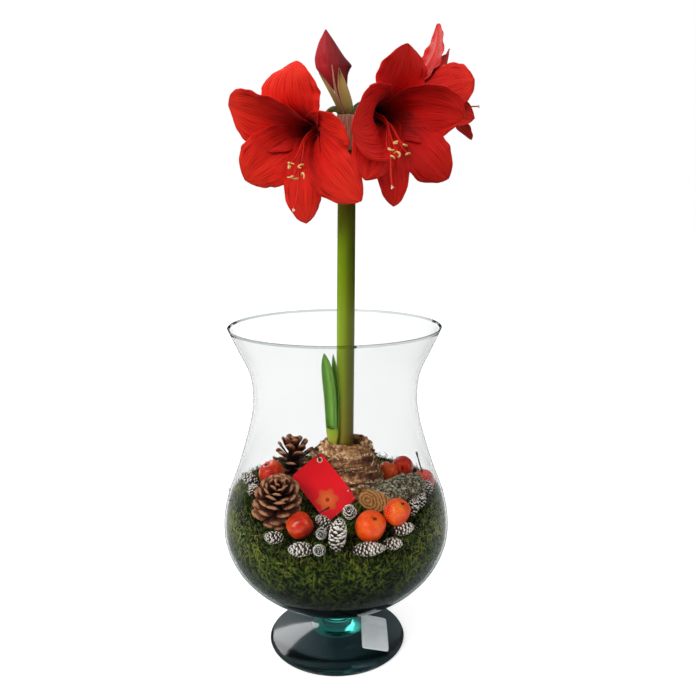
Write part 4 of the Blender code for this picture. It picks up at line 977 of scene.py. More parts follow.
for side, (base, turn, tepals) in BLOOMS.items():
    base, axis = np.array(base, float), facing(*turn)
    above = unit(np.array([0, 0, 1.0]) - axis * axis[2])
    across = np.cross(above, axis)
    made = []
    for k, (along, right, up) in enumerate(STAMENS[side]):
        stamen = k < 6
        a = 2 * math.pi * k / 6
        out = (across * math.cos(a) + above * math.sin(a)) * (2.2 if stamen else 0.0)
        start = base + axis * 5.5 + out
        low = base + axis * 0.45 * along + across * 0.22 * right + above * 0.22 * up + out
        late = base + axis * 0.8 * along + across * 0.7 * right + above * 0.84 * up
        tip = base + axis * along + across * right + above * up
        path = smooth_path([start, low, late, tip], 26)
        radii = np.linspace(0.95, 0.62, 26) if stamen else np.linspace(0.9, 0.8, 26)
        made.append(loft("filament", tube_rings(path * MM, radii * MM, 8), filament_red))
        lean = unit(path[-1] - path[-2])
        if stamen:
            lean = unit(lean + 0.6 * across * math.cos(2.1 * k) + 0.5 * above * math.sin(1.7 * k))
            bow = unit(np.cross(lean, axis * math.cos(k) + above * math.sin(k) + 0.1))
            turns = np.radians(np.linspace(-115, 115, 14))
            arc = [tip + lean * (3.2 * math.sin(t) + 2.6) + bow * (2.6 * math.cos(t) - 2.6) for t in turns]
            thick = 0.95 * np.sin(math.pi * np.linspace(0.1, 0.9, 14)) ** 0.4
            made.append(loft("anther", tube_rings(np.array(arc) * MM, thick * MM, 8), pollen_gold))
        else:
            for t in (0, 2.1, 4.2):
                lobe = across * math.cos(t) + above * math.sin(t)
                path = np.array([tip, tip + lean * 0.8 + lobe * 0.5, tip + lean * 1.3 + lobe * 1.6])
                thick = [0.8 * MM, 0.9 * MM, 0.5 * MM]
                made.append(loft("lobe", tube_rings(path * MM, thick, 8), stigma_pale))
    stands_for(joined("stamens_and_style_" + side, made), "anther", "stamens_" + side)

# Flower stalks: four short smooth stalks rise from the top of the scape. Three end in the green
# ovary behind an open bloom and one carries the bud.

# points of each stalk in mm, before it turns into its bloom's axis
PEDICELS = {
    "left": [(8.4, -2.6, 601.9), (4.6, 0.6, 607), (-2, 7.5, 607.5), (-9, 13, 600)],
    "right": [(20, -3.6, 601.9), (24, 0, 607), (30, 4.5, 609), (36, 4, 604.5)],
    "back": [(19.4, 5.0, 601.9), (22, 10, 608), (29, 18, 614), (42, 29, 618)],
    "bud": [(12.2, 5.2, 601.9), (11.8, 5.6, 608), (10.8, 4.6, 615.3)],
}
# Flower stalk: dark green clouded with bronze, smooth, with a soft shine
pedicel_green, tree, shader = surface("bronzed_pedicel")
coords = add(tree, "ShaderNodeTexCoord").outputs["Object"]
tint = add(tree, "ShaderNodeTexNoise", {"Vector": coords, "Scale": 90.0, "Detail": 2.0})
colour = add(tree, "ShaderNodeValToRGB", {"Fac": tint.outputs["Fac"]}, stops=[
    (0.3, "2C3018"), (0.5, "54602A"), (0.7, "7B7C3A")])
feed(tree, shader, {"Base Color": colour, "Roughness": 0.4})
for side, knots in PEDICELS.items():
    knots = [np.array(p, float) for p in knots]
    axis, swell = np.array([0, 0, 1.0]), [0, 0, 0]
    if side in BLOOMS:
        base, turn, tepals = BLOOMS[side]
        base, axis = np.array(base, float), facing(*turn)
        knots += [base - axis * 9, base - axis * 0.95]
        swell = [0, 0, 0, 0, 0.1, 0.75, 1, 0.9]
    path = smooth_path(knots, 32)
    fat = np.interp(np.linspace(0, 1, 32), np.linspace(0, 1, len(swell)), swell)
    rings = tube_rings(path * MM, (3.1 + 2.3 * fat) * MM, 20, level=True, end=axis)
    stands_for(loft("flower_stalk_" + side, rings, pedicel_green), "stalk", "pedicel_" + side)

# Bud: one closed flower, a pointed form of wrapped dark red tepals whose lowest tip turns out to
# the right. Its skin is satin, with lengthwise streaks, and painted light makes its left side paler and its
# right side darker.

# left and right edge, height and half depth in mm
BUD = [
    (6.6, 14.6, 615.8, 3.4), (0.8, 15.0, 626, 6.0), (-7.3, 15.4, 636.5, 8.0), (-12.4, 16.0, 642, 8.6),
    (-16.4, 18.0, 647, 9.0), (-17.8, 19.6, 651, 9.0), (-18.4, 13.4, 658, 8.8), (-17.2, 9.0, 664, 8.0),
    (-14.0, 2.6, 673.5, 5.6), (-9.4, -3.4, 682, 2.6), (-7.2, -6.2, 685.8, 0.7),
]
BUD_Y = 4
# Closed tepals: dark red satin, streaked about 3 mm apart
bud_red, tree, shader = surface("satin_bud")
coords = add(tree, "ShaderNodeTexCoord").outputs["Object"]
long = add(tree, "ShaderNodeMapping", {
    "Vector": coords, "Rotation": (0, math.radians(-14), 0), "Scale": (1, 1, 0.08)})
streaks = add(tree, "ShaderNodeTexNoise", {"Vector": long, "Scale": 330.0, "Detail": 3.0})
place = add(tree, "ShaderNodeSeparateXYZ", {"Vector": coords})
# Painted light and shade: the colour runs from paler on the bud's left side to darker on its right
lit = add(tree, "ShaderNodeMapRange", {"Value": place.outputs["X"], "From Min": -0.016, "From Max": 0.016})
both = add(tree, "ShaderNodeMix", {0: 0.55, 2: streaks.outputs["Fac"], 3: lit}, data_type="FLOAT")
colour = add(tree, "ShaderNodeValToRGB", {"Fac": both}, stops=[
    (0.2, "BC222A"), (0.42, "9C161F"), (0.6, "7C1019"), (0.8, "560B12")])
bump = add(tree, "ShaderNodeBump", {"Height": streaks.outputs["Fac"], "Strength": 0.3, "Distance": 0.0006})
feed(tree, shader, {"Base Color": colour, "Roughness": 0.42, "Normal": bump, "Sheen Weight": 0.1})
rows = smooth_path(BUD, 60)
rings = []
for k, (left, right, z, deep) in enumerate(rows):
    f = k / (len(rows) - 1)
    middle, half, deep = (left + right) / 2, max((right - left) / 2, 0.3), max(deep, 0.3)
    ring = []
    for i in range(48):
        a = 2 * math.pi * i / 48
        x = middle + half * math.copysign(abs(math.cos(a)) ** 1.15, math.cos(a))
        seam = 1 - 0.09 * math.exp(-((math.sin(a / 2 - 0.75 - 0.9 * f) / 0.08) ** 2))
        seam -= 0.07 * math.exp(-((math.sin(a / 2 - 2.4 + 0.6 * f) / 0.08) ** 2))
        y = BUD_Y + deep * math.sin(a) * (1 + 0.12 * math.cos(3 * a)) * seam
        ring.append((x * MM, y * MM, z * MM))
    rings.append(ring)
stands_for(loft("closed_bud", rings, bud_red), "bud", "bud")

# Bracts: one thin papery valve of the spathe hangs down at the front of the stalk's top, and
# three narrow dry bracteoles stand among the flower stalks.

# Dry spathe: pale brown paper with raised veins about a millimetre apart, crinkled and dull
papery, tree, shader = surface("papery_bract")
place, veins = veins_along(tree, 0.12, 24.0, 3.0, 0.65)
colour = add(tree, "ShaderNodeValToRGB", {"Fac": veins.outputs["Fac"]}, stops=[
    (0.3, "8A5A48"), (0.46, "B58069"), (0.6, "CFA48C"), (0.72, "E3C6B2")])
bump = add(tree, "ShaderNodeBump", {"Height": veins.outputs["Fac"], "Strength": 0.7, "Distance": 0.0008})
feed(tree, shader, {"Base Color": colour, "Roughness": 0.8, "Normal": bump, "Specular IOR Level": 0.2})
# height, radius about the stalk and half angle in degrees
knots = [(600.8, 12.2, 56), (592, 13.8, 60), (582, 14.8, 56), (573, 15.2, 46), (565, 14.8, 16)]
rows = smooth_path(knots, 26)
grid = np.zeros((26, 25, 3))
for j, (z, r, half) in enumerate(rows):
    for m, w in enumerate(np.linspace(-1, 1, 25)):
        a = math.radians(-90 + w * half)
        fold = 0.9 * noise.noise(Vector((w * 3, z / 13, 4)))
        fold += 0.5 * math.sin(11 * w + z / 6) * (0.3 + abs(w) * 0.4)
        drop = 1.5 * noise.noise(Vector((w * 4, 2, 8))) * (j / 25) ** 2
        r2 = r + fold * (0.3 + 0.7 * j / 25)
        grid[j, m] = ((SCAPE[-1][0] + r2 * math.cos(a)) * MM, r2 * math.sin(a) * MM, (z + drop) * MM)
stands_for(blades("spathe_valve", [grid], 0.35 * MM, papery), "papery_bract", "spathe_bract")

# Drying bracteole: olive at its foot and brown at its tip, faintly streaked, nearly dull
dry_olive, tree, shader = surface("dry_bracteole")
place, veins = veins_along(tree, 0.1, 16.0, 2.0)
shift = add(tree, "ShaderNodeMapRange", {"Value": veins.outputs["Fac"], "To Min": -0.2, "To Max": 0.2})
both = add(tree, "ShaderNodeMath", {0: place.outputs["Y"], 1: shift}, operation="ADD")
colour = add(tree, "ShaderNodeValToRGB", {"Fac": both}, stops=[
    (0.05, "6F7230"), (0.4, "9A9350"), (0.75, "A98F52"), (1.0, "7A5A3A")])
feed(tree, shader, {"Base Color": colour, "Roughness": 0.6})
# width and points of the midline in mm
BRACTEOLES = {
    "bracteole_left": (4.6, dry_olive, "bracteole", [
        (8.2, -8.0, 601.9), (4.5, -8.6, 612), (-3, -8.6, 626), (-13.8, -7.6, 642)]),
    "bracteole_thin": (2.4, papery, "papery_bract", [
        (11.4, -8.2, 601.9), (7.8, -9.6, 611), (3.2, -10.6, 624), (-0.4, -10.6, 649)]),
    "bracteole_broad": (11.0, dry_olive, "bracteole", [
        (16.4, -8.0, 601.9), (15.2, -9.4, 610), (10.4, -9.6, 627), (6.7, -8.8, 646)]),
}
for name, (width, mat, slot, knots) in BRACTEOLES.items():
    path = smooth_path(knots, 24)
    tangents = np.gradient(path, axis=0)
    grid = np.zeros((24, 9, 3))
    for j, x in enumerate(np.linspace(0, 1, 24)):
        t = unit(tangents[j])
        s = unit(np.array([1.0, 0.12, 0]) - t * t.dot((1.0, 0.12, 0)))
        n = np.cross(t, s)
        belly = 0.32 + 0.68 * math.sin(math.pi * min(max(x * 0.86 + 0.1, 0), 1))
        half = width / 2 * belly * min(max(1.12 - x ** 6, 0.05), 1)
        for m, v in enumerate(np.linspace(-1, 1, 9)):
            grid[j, m] = path[j] + s * half * v - n * 0.16 * width * (v * v - 0.3)
    stands_for(blades(name + "_blade", [grid * MM], 0.7 * MM, mat), slot, name)

# Small frosted cones: fifteen narrow dried cones with many short overlapping scales, brown,
# darkened between the scales by painted shade, and frosted white on their tips. They lie and stand on the
# moss.


def cone_tree():
    """A cone: scales on a spiral of 137.5 degrees a step, which rise from the base to the tip."""
    tree, given = growing_tree("spiral_of_scales", {
        "Scale": "Object", "Count": "Int", "Length": "Float", "Radius": "Float", "Root Share": "Float",
        "Belly From": "Float", "Belly Span": "Float", "Low Rise": "Float", "Rise Span": "Float",
        "Scale Length": "Float", "Scale Width": "Float", "Seed": "Int", "Finish": "Material"})
    line = add(tree, "GeometryNodeMeshLine", {"Count": given["Count"], "Offset": (0, 0, 0)})
    index = add(tree, "GeometryNodeInputIndex")
    share = add(tree, "ShaderNodeMath", {0: index, 1: 0.5}, operation="ADD")
    share = add(tree, "ShaderNodeMath", {0: share, 1: given["Count"]}, operation="DIVIDE")
    angle = add(tree, "ShaderNodeMath", {0: index, 1: math.radians(137.508)}, operation="MULTIPLY")
    belly = add(tree, "ShaderNodeMath", {
        0: share, 1: given["Belly Span"], 2: given["Belly From"]}, operation="MULTIPLY_ADD")
    belly = add(tree, "ShaderNodeMath", {0: belly, 1: math.pi}, operation="MULTIPLY")
    belly = add(tree, "ShaderNodeMath", {0: belly}, operation="SINE")
    belly = add(tree, "ShaderNodeMath", {0: belly, 1: 0.7}, operation="POWER")
    wide = add(tree, "ShaderNodeMath", {0: belly, 1: given["Radius"]}, operation="MULTIPLY")
    root = add(tree, "ShaderNodeMath", {0: wide, 1: given["Root Share"]}, operation="MULTIPLY")
    height = add(tree, "ShaderNodeMath", {0: share, 1: 0.5}, operation="SUBTRACT")
    height = add(tree, "ShaderNodeMath", {0: height, 1: given["Length"]}, operation="MULTIPLY")
    cosine = add(tree, "ShaderNodeMath", {0: angle}, operation="COSINE")
    sine = add(tree, "ShaderNodeMath", {0: angle}, operation="SINE")
    place = add(tree, "ShaderNodeCombineXYZ", {
        "X": add(tree, "ShaderNodeMath", {0: root, 1: cosine}, operation="MULTIPLY"),
        "Y": add(tree, "ShaderNodeMath", {0: root, 1: sine}, operation="MULTIPLY"), "Z": height})
    set_out = add(tree, "GeometryNodeSetPosition", {"Geometry": line, "Position": place})
    wobble = add(tree, "FunctionNodeRandomValue", {2: -0.3, 3: 0.3, "Seed": given["Seed"]}, data_type="FLOAT")
    rise = add(tree, "ShaderNodeMath", {
        0: share, 1: given["Rise Span"], 2: given["Low Rise"]}, operation="MULTIPLY_ADD")
    rise = add(tree, "ShaderNodeMath", {0: rise, 1: wobble}, operation="ADD")
    rise = add(tree, "ShaderNodeMath", {0: rise, 1: -1.0}, operation="MULTIPLY")
    turn = add(tree, "FunctionNodeEulerToRotation", {
        0: add(tree, "ShaderNodeCombineXYZ", {"Y": rise, "Z": angle})})
    vary = add(tree, "FunctionNodeRandomValue", {2: 0.8, 3: 1.12, "Seed": given["Seed"]}, data_type="FLOAT")
    long = add(tree, "ShaderNodeMath", {0: wide, 1: given["Scale Length"]}, operation="MULTIPLY")
    long = add(tree, "ShaderNodeMath", {0: long, 1: vary}, operation="MULTIPLY")
    broad = add(tree, "ShaderNodeMath", {0: wide, 1: given["Scale Width"]}, operation="MULTIPLY")
    size = add(tree, "ShaderNodeCombineXYZ", {"X": long, "Y": broad, "Z": broad})
    shape = add(tree, "GeometryNodeObjectInfo", {"Object": given["Scale"]})
    copies = add(tree, "GeometryNodeInstanceOnPoints", {
        "Points": set_out, "Instance": shape.outputs["Geometry"], "Rotation": turn, "Scale": size})
    return copies_made_real(tree, copies, given["Finish"])


def one_scale(name, outline, curl, thick, mat):
    """A scale of unit length along +X from its root; outline gives half widths, curl the lift.
    The attribute tip runs from 0 at the root to 1 at the free end."""
    points, faces, tips = [], [], []
    for x, half, t in outline:
        z = curl * x * x
        for w, up in ((-1, 0.0), (-0.5, 0.8), (0.5, 0.8), (1, 0.0), (0.5, -0.7), (-0.5, -0.7)):
            points.append((x, half * w, z + up * thick * t - 0.25 * thick * w * w))
            tips.append(x)
    rows = len(outline)
    for k in range(rows - 1):
        for i in range(6):
            j = (i + 1) % 6
            faces.append((k * 6 + i, (k + 1) * 6 + i, (k + 1) * 6 + j, k * 6 + j))
    faces += [tuple(range(6)), tuple(reversed(range((rows - 1) * 6, rows * 6)))]
    obj = piece(name, points, faces, mat, sharp=80)
    obj.data.attributes.new("tip", "FLOAT", "POINT").data.foreach_set("value", tips)
    return obj


def placed_upright(obj, centre, tilt, azimuth):
    """Leans an upright piece by tilt degrees towards an azimuth and carries it to its place."""
    turn = Matrix.Rotation(math.radians(azimuth), 4, "Z") @ Matrix.Rotation(math.radians(tilt), 4, "Y")
    obj.data.transform(Matrix.Translation(centre) @ turn)
    return obj


# radius, length, tilt from upright and heading, in mm and degrees
SMALL_CONES = [
    (7.5, 22, 78, 200), (8.8, 27, 85, 190), (7.0, 20, 80, 268), (11.0, 38, 8, 0), (7.0, 18, 70, 250),
    (7.5, 22, 70, 150), (8.5, 24, 45, 260), (8.5, 36, 88, 5), (8.0, 24, 80, 12), (7.5, 21, 88, 4),
    (7.6, 20, 15, 0), (7.0, 18, 15, 0), (6.8, 18, 15, 120), (8.0, 24, 50, 180), (7.5, 22, 80, 100),
]
# Frosted scale: brown, near black at its root as painted shade under the scale above, with a chalky white
# tip, speckled 1.5 mm apart, no shine
frosted, tree, shader = surface("frosted_cone_scale")
tip = add(tree, "ShaderNodeAttribute", attribute_name="tip")
speckle = add(tree, "ShaderNodeTexNoise", {
    "Vector": add(tree, "ShaderNodeTexCoord").outputs["Object"], "Scale": 700.0, "Detail": 2.0})
shift = add(tree, "ShaderNodeMapRange", {"Value": speckle.outputs["Fac"], "To Min": -0.22, "To Max": 0.22})
both = add(tree, "ShaderNodeMath", {0: tip.outputs["Fac"], 1: shift}, operation="ADD")
colour = add(tree, "ShaderNodeValToRGB", {"Fac": both}, stops=[
    (0.3, "1C110B"), (0.64, "4A3325"), (0.76, "BDAF9A"), (0.89, "FAF7F0")])
feed(tree, shader, {"Base Color": colour, "Roughness": 0.85})
spiral = cone_tree()
flake = one_scale("one_flake", [
    (0, 0.3, 0.6), (0.45, 0.5, 1), (0.8, 0.42, 1), (1.0, 0.16, 0.5)], 0.22, 0.13, frosted)
for k, (radius, length, tilt, azimuth) in enumerate(SMALL_CONES):
    node = "small_cone_%02d" % (k + 1)
    low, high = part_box(node)
    cone = grown("frosted_%02d" % (k + 1), bpy.data.meshes.new("seed"), spiral, {
        "Scale": flake, "Count": int(2.7 * length + 16), "Length": 0.94 * length * MM, "Radius": radius * MM,
        "Root Share": 0.5, "Belly From": 0.1, "Belly Span": 0.875, "Low Rise": 0.35, "Rise Span": 0.95,
        "Scale Length": 0.62, "Scale Width": 0.62, "Seed": k, "Finish": frosted})
    placed_upright(cone, (low + high) / 2, tilt, azimuth)
    path = np.array([(0, 0, z * length * MM) for z in (-0.47, -0.3, 0.0, 0.3, 0.46)])
    thick = [f * radius * MM for f in (0.2, 0.45, 0.58, 0.42, 0.1)]
    core = loft("core", tube_rings(path, thick, 12), frosted)
    placed_upright(core, (low + high) / 2, tilt, azimuth)
    stands_for(joined("frosted_cone_%02d" % (k + 1), [cone, core]), "frosted_cone", node)
bpy.data.objects.remove(flake)

# Pine cones: two open dry cones with broad woody scales, darker inside by painted shade between the scales,
# with paler worn tips. One is bedded in the moss at the front and one behind the bulb, held by nothing else.

# Weathered scale: dark brown at its root, deepened to near black as painted shade between the scales, and
# worn to tan at its tip, grained 3 mm apart, half dull
cone_brown, tree, shader = surface("open_cone_scale")
tip = add(tree, "ShaderNodeAttribute", attribute_name="tip")
coords = add(tree, "ShaderNodeTexCoord").outputs["Object"]
grain = add(tree, "ShaderNodeTexNoise", {"Vector": coords, "Scale": 320.0, "Detail": 4.0})
shift = add(tree, "ShaderNodeMapRange", {"Value": grain.outputs["Fac"], "To Min": -0.3, "To Max": 0.3})
both = add(tree, "ShaderNodeMath", {0: tip.outputs["Fac"], 1: shift}, operation="ADD")
colour = add(tree, "ShaderNodeValToRGB", {"Fac": both}, stops=[
    (0.1, "180B07"), (0.5, "3E1E12"), (0.84, "6F4028"), (0.98, "AE7A58")])
bump = add(tree, "ShaderNodeBump", {"Height": grain.outputs["Fac"], "Strength": 0.5, "Distance": 0.001})
feed(tree, shader, {"Base Color": colour, "Roughness": 0.72, "Normal": bump, "Specular IOR Level": 0.3})
woody = one_scale("one_woody_scale", [
    (0, 0.16, 0.7), (0.3, 0.24, 0.7), (0.6, 0.42, 0.8), (0.8, 0.5, 1.0), (0.93, 0.42, 1.4), (1.0, 0.2, 1.1)],
    0.12, 0.1, cone_brown)
# radius, length, tilt and heading, then how many scales, their length and their width
PINE_CONES = {
    "front": (26, 44, 24, 285, 62, 0.92, 0.62),
    "back": (25, 42, 12, 60, 42, 0.94, 0.6),
}
for name, (radius, height, tilt, azimuth, count, long, broad) in PINE_CONES.items():
    low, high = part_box("pine_cone_" + name)
    cone = grown("scales", bpy.data.meshes.new("seed"), spiral, {
        "Scale": woody, "Count": count, "Length": 0.86 * height * MM, "Radius": radius * MM,
        "Root Share": 0.2, "Belly From": 0.3, "Belly Span": 0.62, "Low Rise": -0.22, "Rise Span": 1.5,
        "Scale Length": long, "Scale Width": broad, "Seed": 4, "Finish": cone_brown})
    path = np.array([(0, 0, z * height * MM) for z in (-0.46, -0.3, 0.0, 0.3, 0.42)])
    thick = [f * radius * MM for f in (0.2, 0.34, 0.3, 0.2, 0.06)]
    core = loft("core", tube_rings(path, thick, 16), cone_brown)
    whole = joined("open_cone_" + name, [cone, core])
    placed_upright(whole, (low + high) / 2, tilt, azimuth)
    stands_for(whole, "pine_cone", "pine_cone_" + name)
bpy.data.objects.remove(woody)

# Log: a short piece of branch, its bark crusted with grey-green lichen, sawn at both ends. The
# near end shows the tan wood.

# points of the middle and radius in mm, from the near end
LOG = [(34, -60, 196, 13.5), (54, -50, 199, 16.0), (74, -39, 202, 17.0), (90, -31.5, 203, 14.5)]
# Bark under lichen: a pale grey-green crust on dark brown, in patches of about 5 mm, rough and dull
bark, tree, shader = surface("lichen_bark")
coords = add(tree, "ShaderNodeTexCoord").outputs["Object"]
crust = add(tree, "ShaderNodeTexNoise", {"Vector": coords, "Scale": 210.0, "Detail": 6.0, "Roughness": 0.75})
spots = add(tree, "ShaderNodeTexVoronoi", {"Vector": coords, "Scale": 420.0})
both = add(tree, "ShaderNodeMix", {
    0: 0.35, 2: crust.outputs["Fac"], 3: spots.outputs["Distance"]}, data_type="FLOAT")
colour = add(tree, "ShaderNodeValToRGB", {"Fac": both}, stops=[
    (0.3, "15100C"), (0.43, "40362A"), (0.51, "6C6450"), (0.59, "959078"), (0.7, "CECBB2")])
bump = add(tree, "ShaderNodeBump", {"Height": both, "Strength": 1.0, "Distance": 0.0025})
feed(tree, shader, {"Base Color": colour, "Roughness": 0.9, "Normal": bump, "Specular IOR Level": 0.2})
# Sawn end: tan wood with darker year rings, drawn wider apart than real ones, and no shine
sawn, tree, shader = surface("sawn_wood")
place = add(tree, "ShaderNodeMapping", {
    "Vector": add(tree, "ShaderNodeTexCoord").outputs["Object"], "Location": (-0.034, 0.06, -0.198)})
rings_of = add(tree, "ShaderNodeTexWave", {
    "Vector": place, "Scale": 85.0, "Distortion": 5.0, "Detail": 4.0, "Detail Scale": 3.0},
    wave_type="RINGS", rings_direction="SPHERICAL")
colour = add(tree, "ShaderNodeValToRGB", {"Fac": rings_of.outputs["Fac"]}, stops=[
    (0.1, "7E4E26"), (0.5, "A8713A"), (0.9, "C28F52")])
feed(tree, shader, {"Base Color": colour, "Roughness": 0.85})
path = smooth_path([p[:3] for p in LOG], 44)
radii = np.interp(np.linspace(0, 3, 44), range(4), [p[3] for p in LOG])
rings = tube_rings(path, radii, 56)
for k, ring in enumerate(rings):
    centre = ring.mean(0)
    for i in range(56):
        p = ring[i]
        rough = 1.3 * noise.noise(Vector(p / 7)) + 0.8 * noise.noise(Vector(p / 2.6))
        rough += 0.4 * noise.noise(Vector(p / 1.2))
        ring[i] = centre + (p - centre) * (1 + (rough - 0.3) / np.linalg.norm(p - centre))
# The near end is sawn across at a slant, so that its face looks to the front
SLANT, SLANT_RINGS = 0.75, 10
way = unit(path[1] - path[0])
aside = unit(np.cross(way, (0, 0, 1)))
for k in range(SLANT_RINGS):
    centre = rings[k].mean(0)
    reach = (rings[k] - centre) @ aside * SLANT + 0.3 * radii[0]
    rings[k] = rings[k] + np.outer(reach * (1 - k / SLANT_RINGS), way)
low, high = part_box("log")
every = np.concatenate(rings)
shift = np.array((low + high) / 2) / MM - (every.min(0) + every.max(0)) / 2
first, last = rings[0], rings[-1]
for share in (0.93, 0.5, 0.15):
    rings.insert(0, first.mean(0) + (first - first.mean(0)) * share)
    rings.append(last.mean(0) + (last - last.mean(0)) * share)
log = loft("lichen_log", [(r + shift) * MM for r in rings], bark, sharp=45)
log.data.materials.append(sawn)
ends = [np.array(rings[0].mean(0) + shift) * MM, np.array(rings[-1].mean(0) + shift) * MM]
axis = unit(way - SLANT * aside), unit(path[-1] - path[-2])
for face in log.data.polygons:
    for end, way in zip(ends, axis):
        if abs(np.dot(np.array(face.center) - end, way)) < 1.2 * MM and abs(np.dot(face.normal, way)) > 0.7:
            face.material_index = 1
stands_for(log, "bark", "log")

# Small apples: ornamental fruits with a waxy shine, red or orange, with a dimple at the stalk.
# Two keep their long dark stems.

# radius and height of the profile as shares of the apple's radius, from the eye to the stalk
APPLE = [
    (0.0, -0.84), (0.10, -0.86), (0.22, -0.93), (0.36, -0.97), (0.56, -0.92), (0.78, -0.74), (0.94, -0.45),
    (1.0, -0.1), (0.99, 0.2), (0.92, 0.5), (0.76, 0.75), (0.54, 0.9), (0.32, 0.95), (0.18, 0.92),
    (0.08, 0.82), (0.0, 0.76),
]
# radius, tilt and heading, and the length of a kept stem, 0 for none
APPLES = [
    ("apple_left_back", 15.0, 25, 200, 0), ("apple_left_front", 13.5, 58, 12, 22),
    ("apple_right_front", 15.5, 35, 300, 0), ("apple_right", 13.5, 30, 330, 0),
    ("apple_right_back", 13.0, 80, 262, 0), ("apple_bulb_side", 12.0, 20, 40, 0),
    ("apple_far_right", 12.0, 12, 200, 25),
]


def apple_skin(name, deep, mid, light):
    """Waxy apple skin: flushed and streaked, with pale dots under a clear shine. The dots are drawn
    2 mm apart, wider than they are."""
    mat, tree, shader = surface(name)
    coords = add(tree, "ShaderNodeTexCoord").outputs["Object"]
    flush = add(tree, "ShaderNodeTexNoise", {"Vector": coords, "Scale": 42.0, "Detail": 3.0})
    streaks = add(tree, "ShaderNodeTexNoise", {"Vector": coords, "Scale": 190.0, "Detail": 4.0})
    both = add(tree, "ShaderNodeMix", {
        0: 0.4, 2: flush.outputs["Fac"], 3: streaks.outputs["Fac"]}, data_type="FLOAT")
    body = add(tree, "ShaderNodeValToRGB", {"Fac": both}, stops=[(0.34, deep), (0.52, mid), (0.7, light)])
    dots = add(tree, "ShaderNodeTexVoronoi", {"Vector": coords, "Scale": 520.0})
    mask = add(tree, "ShaderNodeValToRGB", {"Fac": dots.outputs["Distance"]}, stops=[
        (0.08, "5A5A5A"), (0.16, "000000")])
    colour = add(tree, "ShaderNodeMix", {0: mask, 6: body, 7: tone("F0B27A")}, data_type="RGBA")
    feed(tree, shader, {
        "Base Color": colour, "Roughness": 0.35, "Specular IOR Level": 0.3, "Coat Weight": 0.4,
        "Coat Roughness": 0.1, "Subsurface Weight": 0.08, "Subsurface Radius": (0.006, 0.002, 0.001)})
    return mat


red_apple = apple_skin("waxy_red_apple", "9A1405", "C8280A", "E25A14")
orange_apple = apple_skin("waxy_orange_apple", "D82E06", "F2500A", "F87818")
# Dry stem: dark brown and woody, nearly dull
stem_dark, tree, shader = surface("dry_stem")
feed(tree, shader, {"Base Color": tone("2E2118"), "Roughness": 0.7})
for name, radius, tilt, azimuth, stem in APPLES:
    low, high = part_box(name)
    centre = low + Vector((0.98, 0.98, 0.97)) * radius * MM if stem else (low + high) / 2
    orange = name in ("apple_right_front", "apple_right")
    profile = smooth_path([(r * radius, z * radius) for r, z in APPLE], 46)
    profile[0, 0] = profile[-1, 0] = 0.0
    fruit = revolve("fruit", profile[::-1], 48, orange_apple if orange else red_apple, sharp=70)
    for v in fruit.data.vertices:
        v.co *= 1 + 0.035 * noise.noise(v.co * 60 + Vector((radius, 0, tilt)))
    knots = [(0, 0, 0.7 * radius), (0.6, 0, radius + 4), (2.5, 1, radius + stem)] if stem else [
        (0, 0, 0.7 * radius), (0.3, 0.2, 0.86 * radius), (0.9, 0.4, 0.99 * radius)]
    path = smooth_path(np.array(knots) * MM, 14)
    thick = [0.75 * MM] * 12 + [1.1 * MM, 1.2 * MM]
    stalk = loft("stalk_end", tube_rings(path, thick, 8), stem_dark)
    whole = joined(name + "_fruit", [fruit, stalk])
    placed_upright(whole, centre, tilt, azimuth)
    stands_for(whole, "apple_orange" if orange else "apple", name)

# Care card: a thin glossy card with rounded corners and a punched eyelet, standing on a corner
# against the bulb. It is red, with a plain rosette of rounded shapes in orange on it.

TAG_LENGTH, TAG_WIDTH, TAG_THICK, TAG_HOLE, TAG_HOLE_IN = 64, 42, 1.0, 2.2, 6
along = unit(np.array([39, -15, -46.0]))
across = unit(np.array([32, 15, 21.0]) - along * np.dot((32, 15, 21.0), along))
out = np.cross(along, across)
stand = Matrix([[along[i], across[i], out[i], 0] for i in range(3)] + [[0, 0, 0, 1]])
# Printed board under varnish: an even warm red with a soft shine
card, tree, shader = surface("printed_card")
place = add(tree, "ShaderNodeSeparateXYZ", {"Vector": add(tree, "ShaderNodeUVMap", uv_map="UVMap")})
x = add(tree, "ShaderNodeMath", {0: place.outputs["X"], 1: 0.7}, operation="SUBTRACT")
y = add(tree, "ShaderNodeMath", {0: place.outputs["Y"], 1: 0.66, 2: -0.24}, operation="MULTIPLY_ADD")
angle = add(tree, "ShaderNodeMath", {0: y, 1: x}, operation="ARCTAN2")
PETALS, PETAL_DEPTH, ROSETTE_RADIUS = 6.0, 0.03, 0.19
wave = add(tree, "ShaderNodeMath", {0: angle, 1: PETALS}, operation="MULTIPLY")
wave = add(tree, "ShaderNodeMath", {0: wave}, operation="COSINE")
petal = add(tree, "ShaderNodeMath", {0: wave, 1: PETAL_DEPTH, 2: ROSETTE_RADIUS}, operation="MULTIPLY_ADD")
apart = add(tree, "ShaderNodeCombineXYZ", {"X": x, "Y": y})
apart = add(tree, "ShaderNodeVectorMath", {0: apart}, operation="LENGTH")
shape = add(tree, "ShaderNodeMath", {0: petal, 1: apart.outputs["Value"]}, operation="SUBTRACT")
mask = add(tree, "ShaderNodeMapRange", {"Value": shape, "From Min": 0.0, "From Max": 0.02})
shade = add(tree, "ShaderNodeMapRange", {"Value": place.outputs["X"], "From Min": 0.0, "From Max": 1.0})
ground = add(tree, "ShaderNodeValToRGB", {"Fac": shade}, stops=[
    (0.0, "CC0C18"), (0.5, "EC1420"), (1.0, "F4202C")])
warm = add(tree, "ShaderNodeValToRGB", {"Fac": apart.outputs["Value"]}, stops=[
    (0.03, "B82A1A"), (0.045, "EC7034"), (0.2, "E04022")])
colour = add(tree, "ShaderNodeMix", {0: mask, 6: ground, 7: warm}, data_type="RGBA")
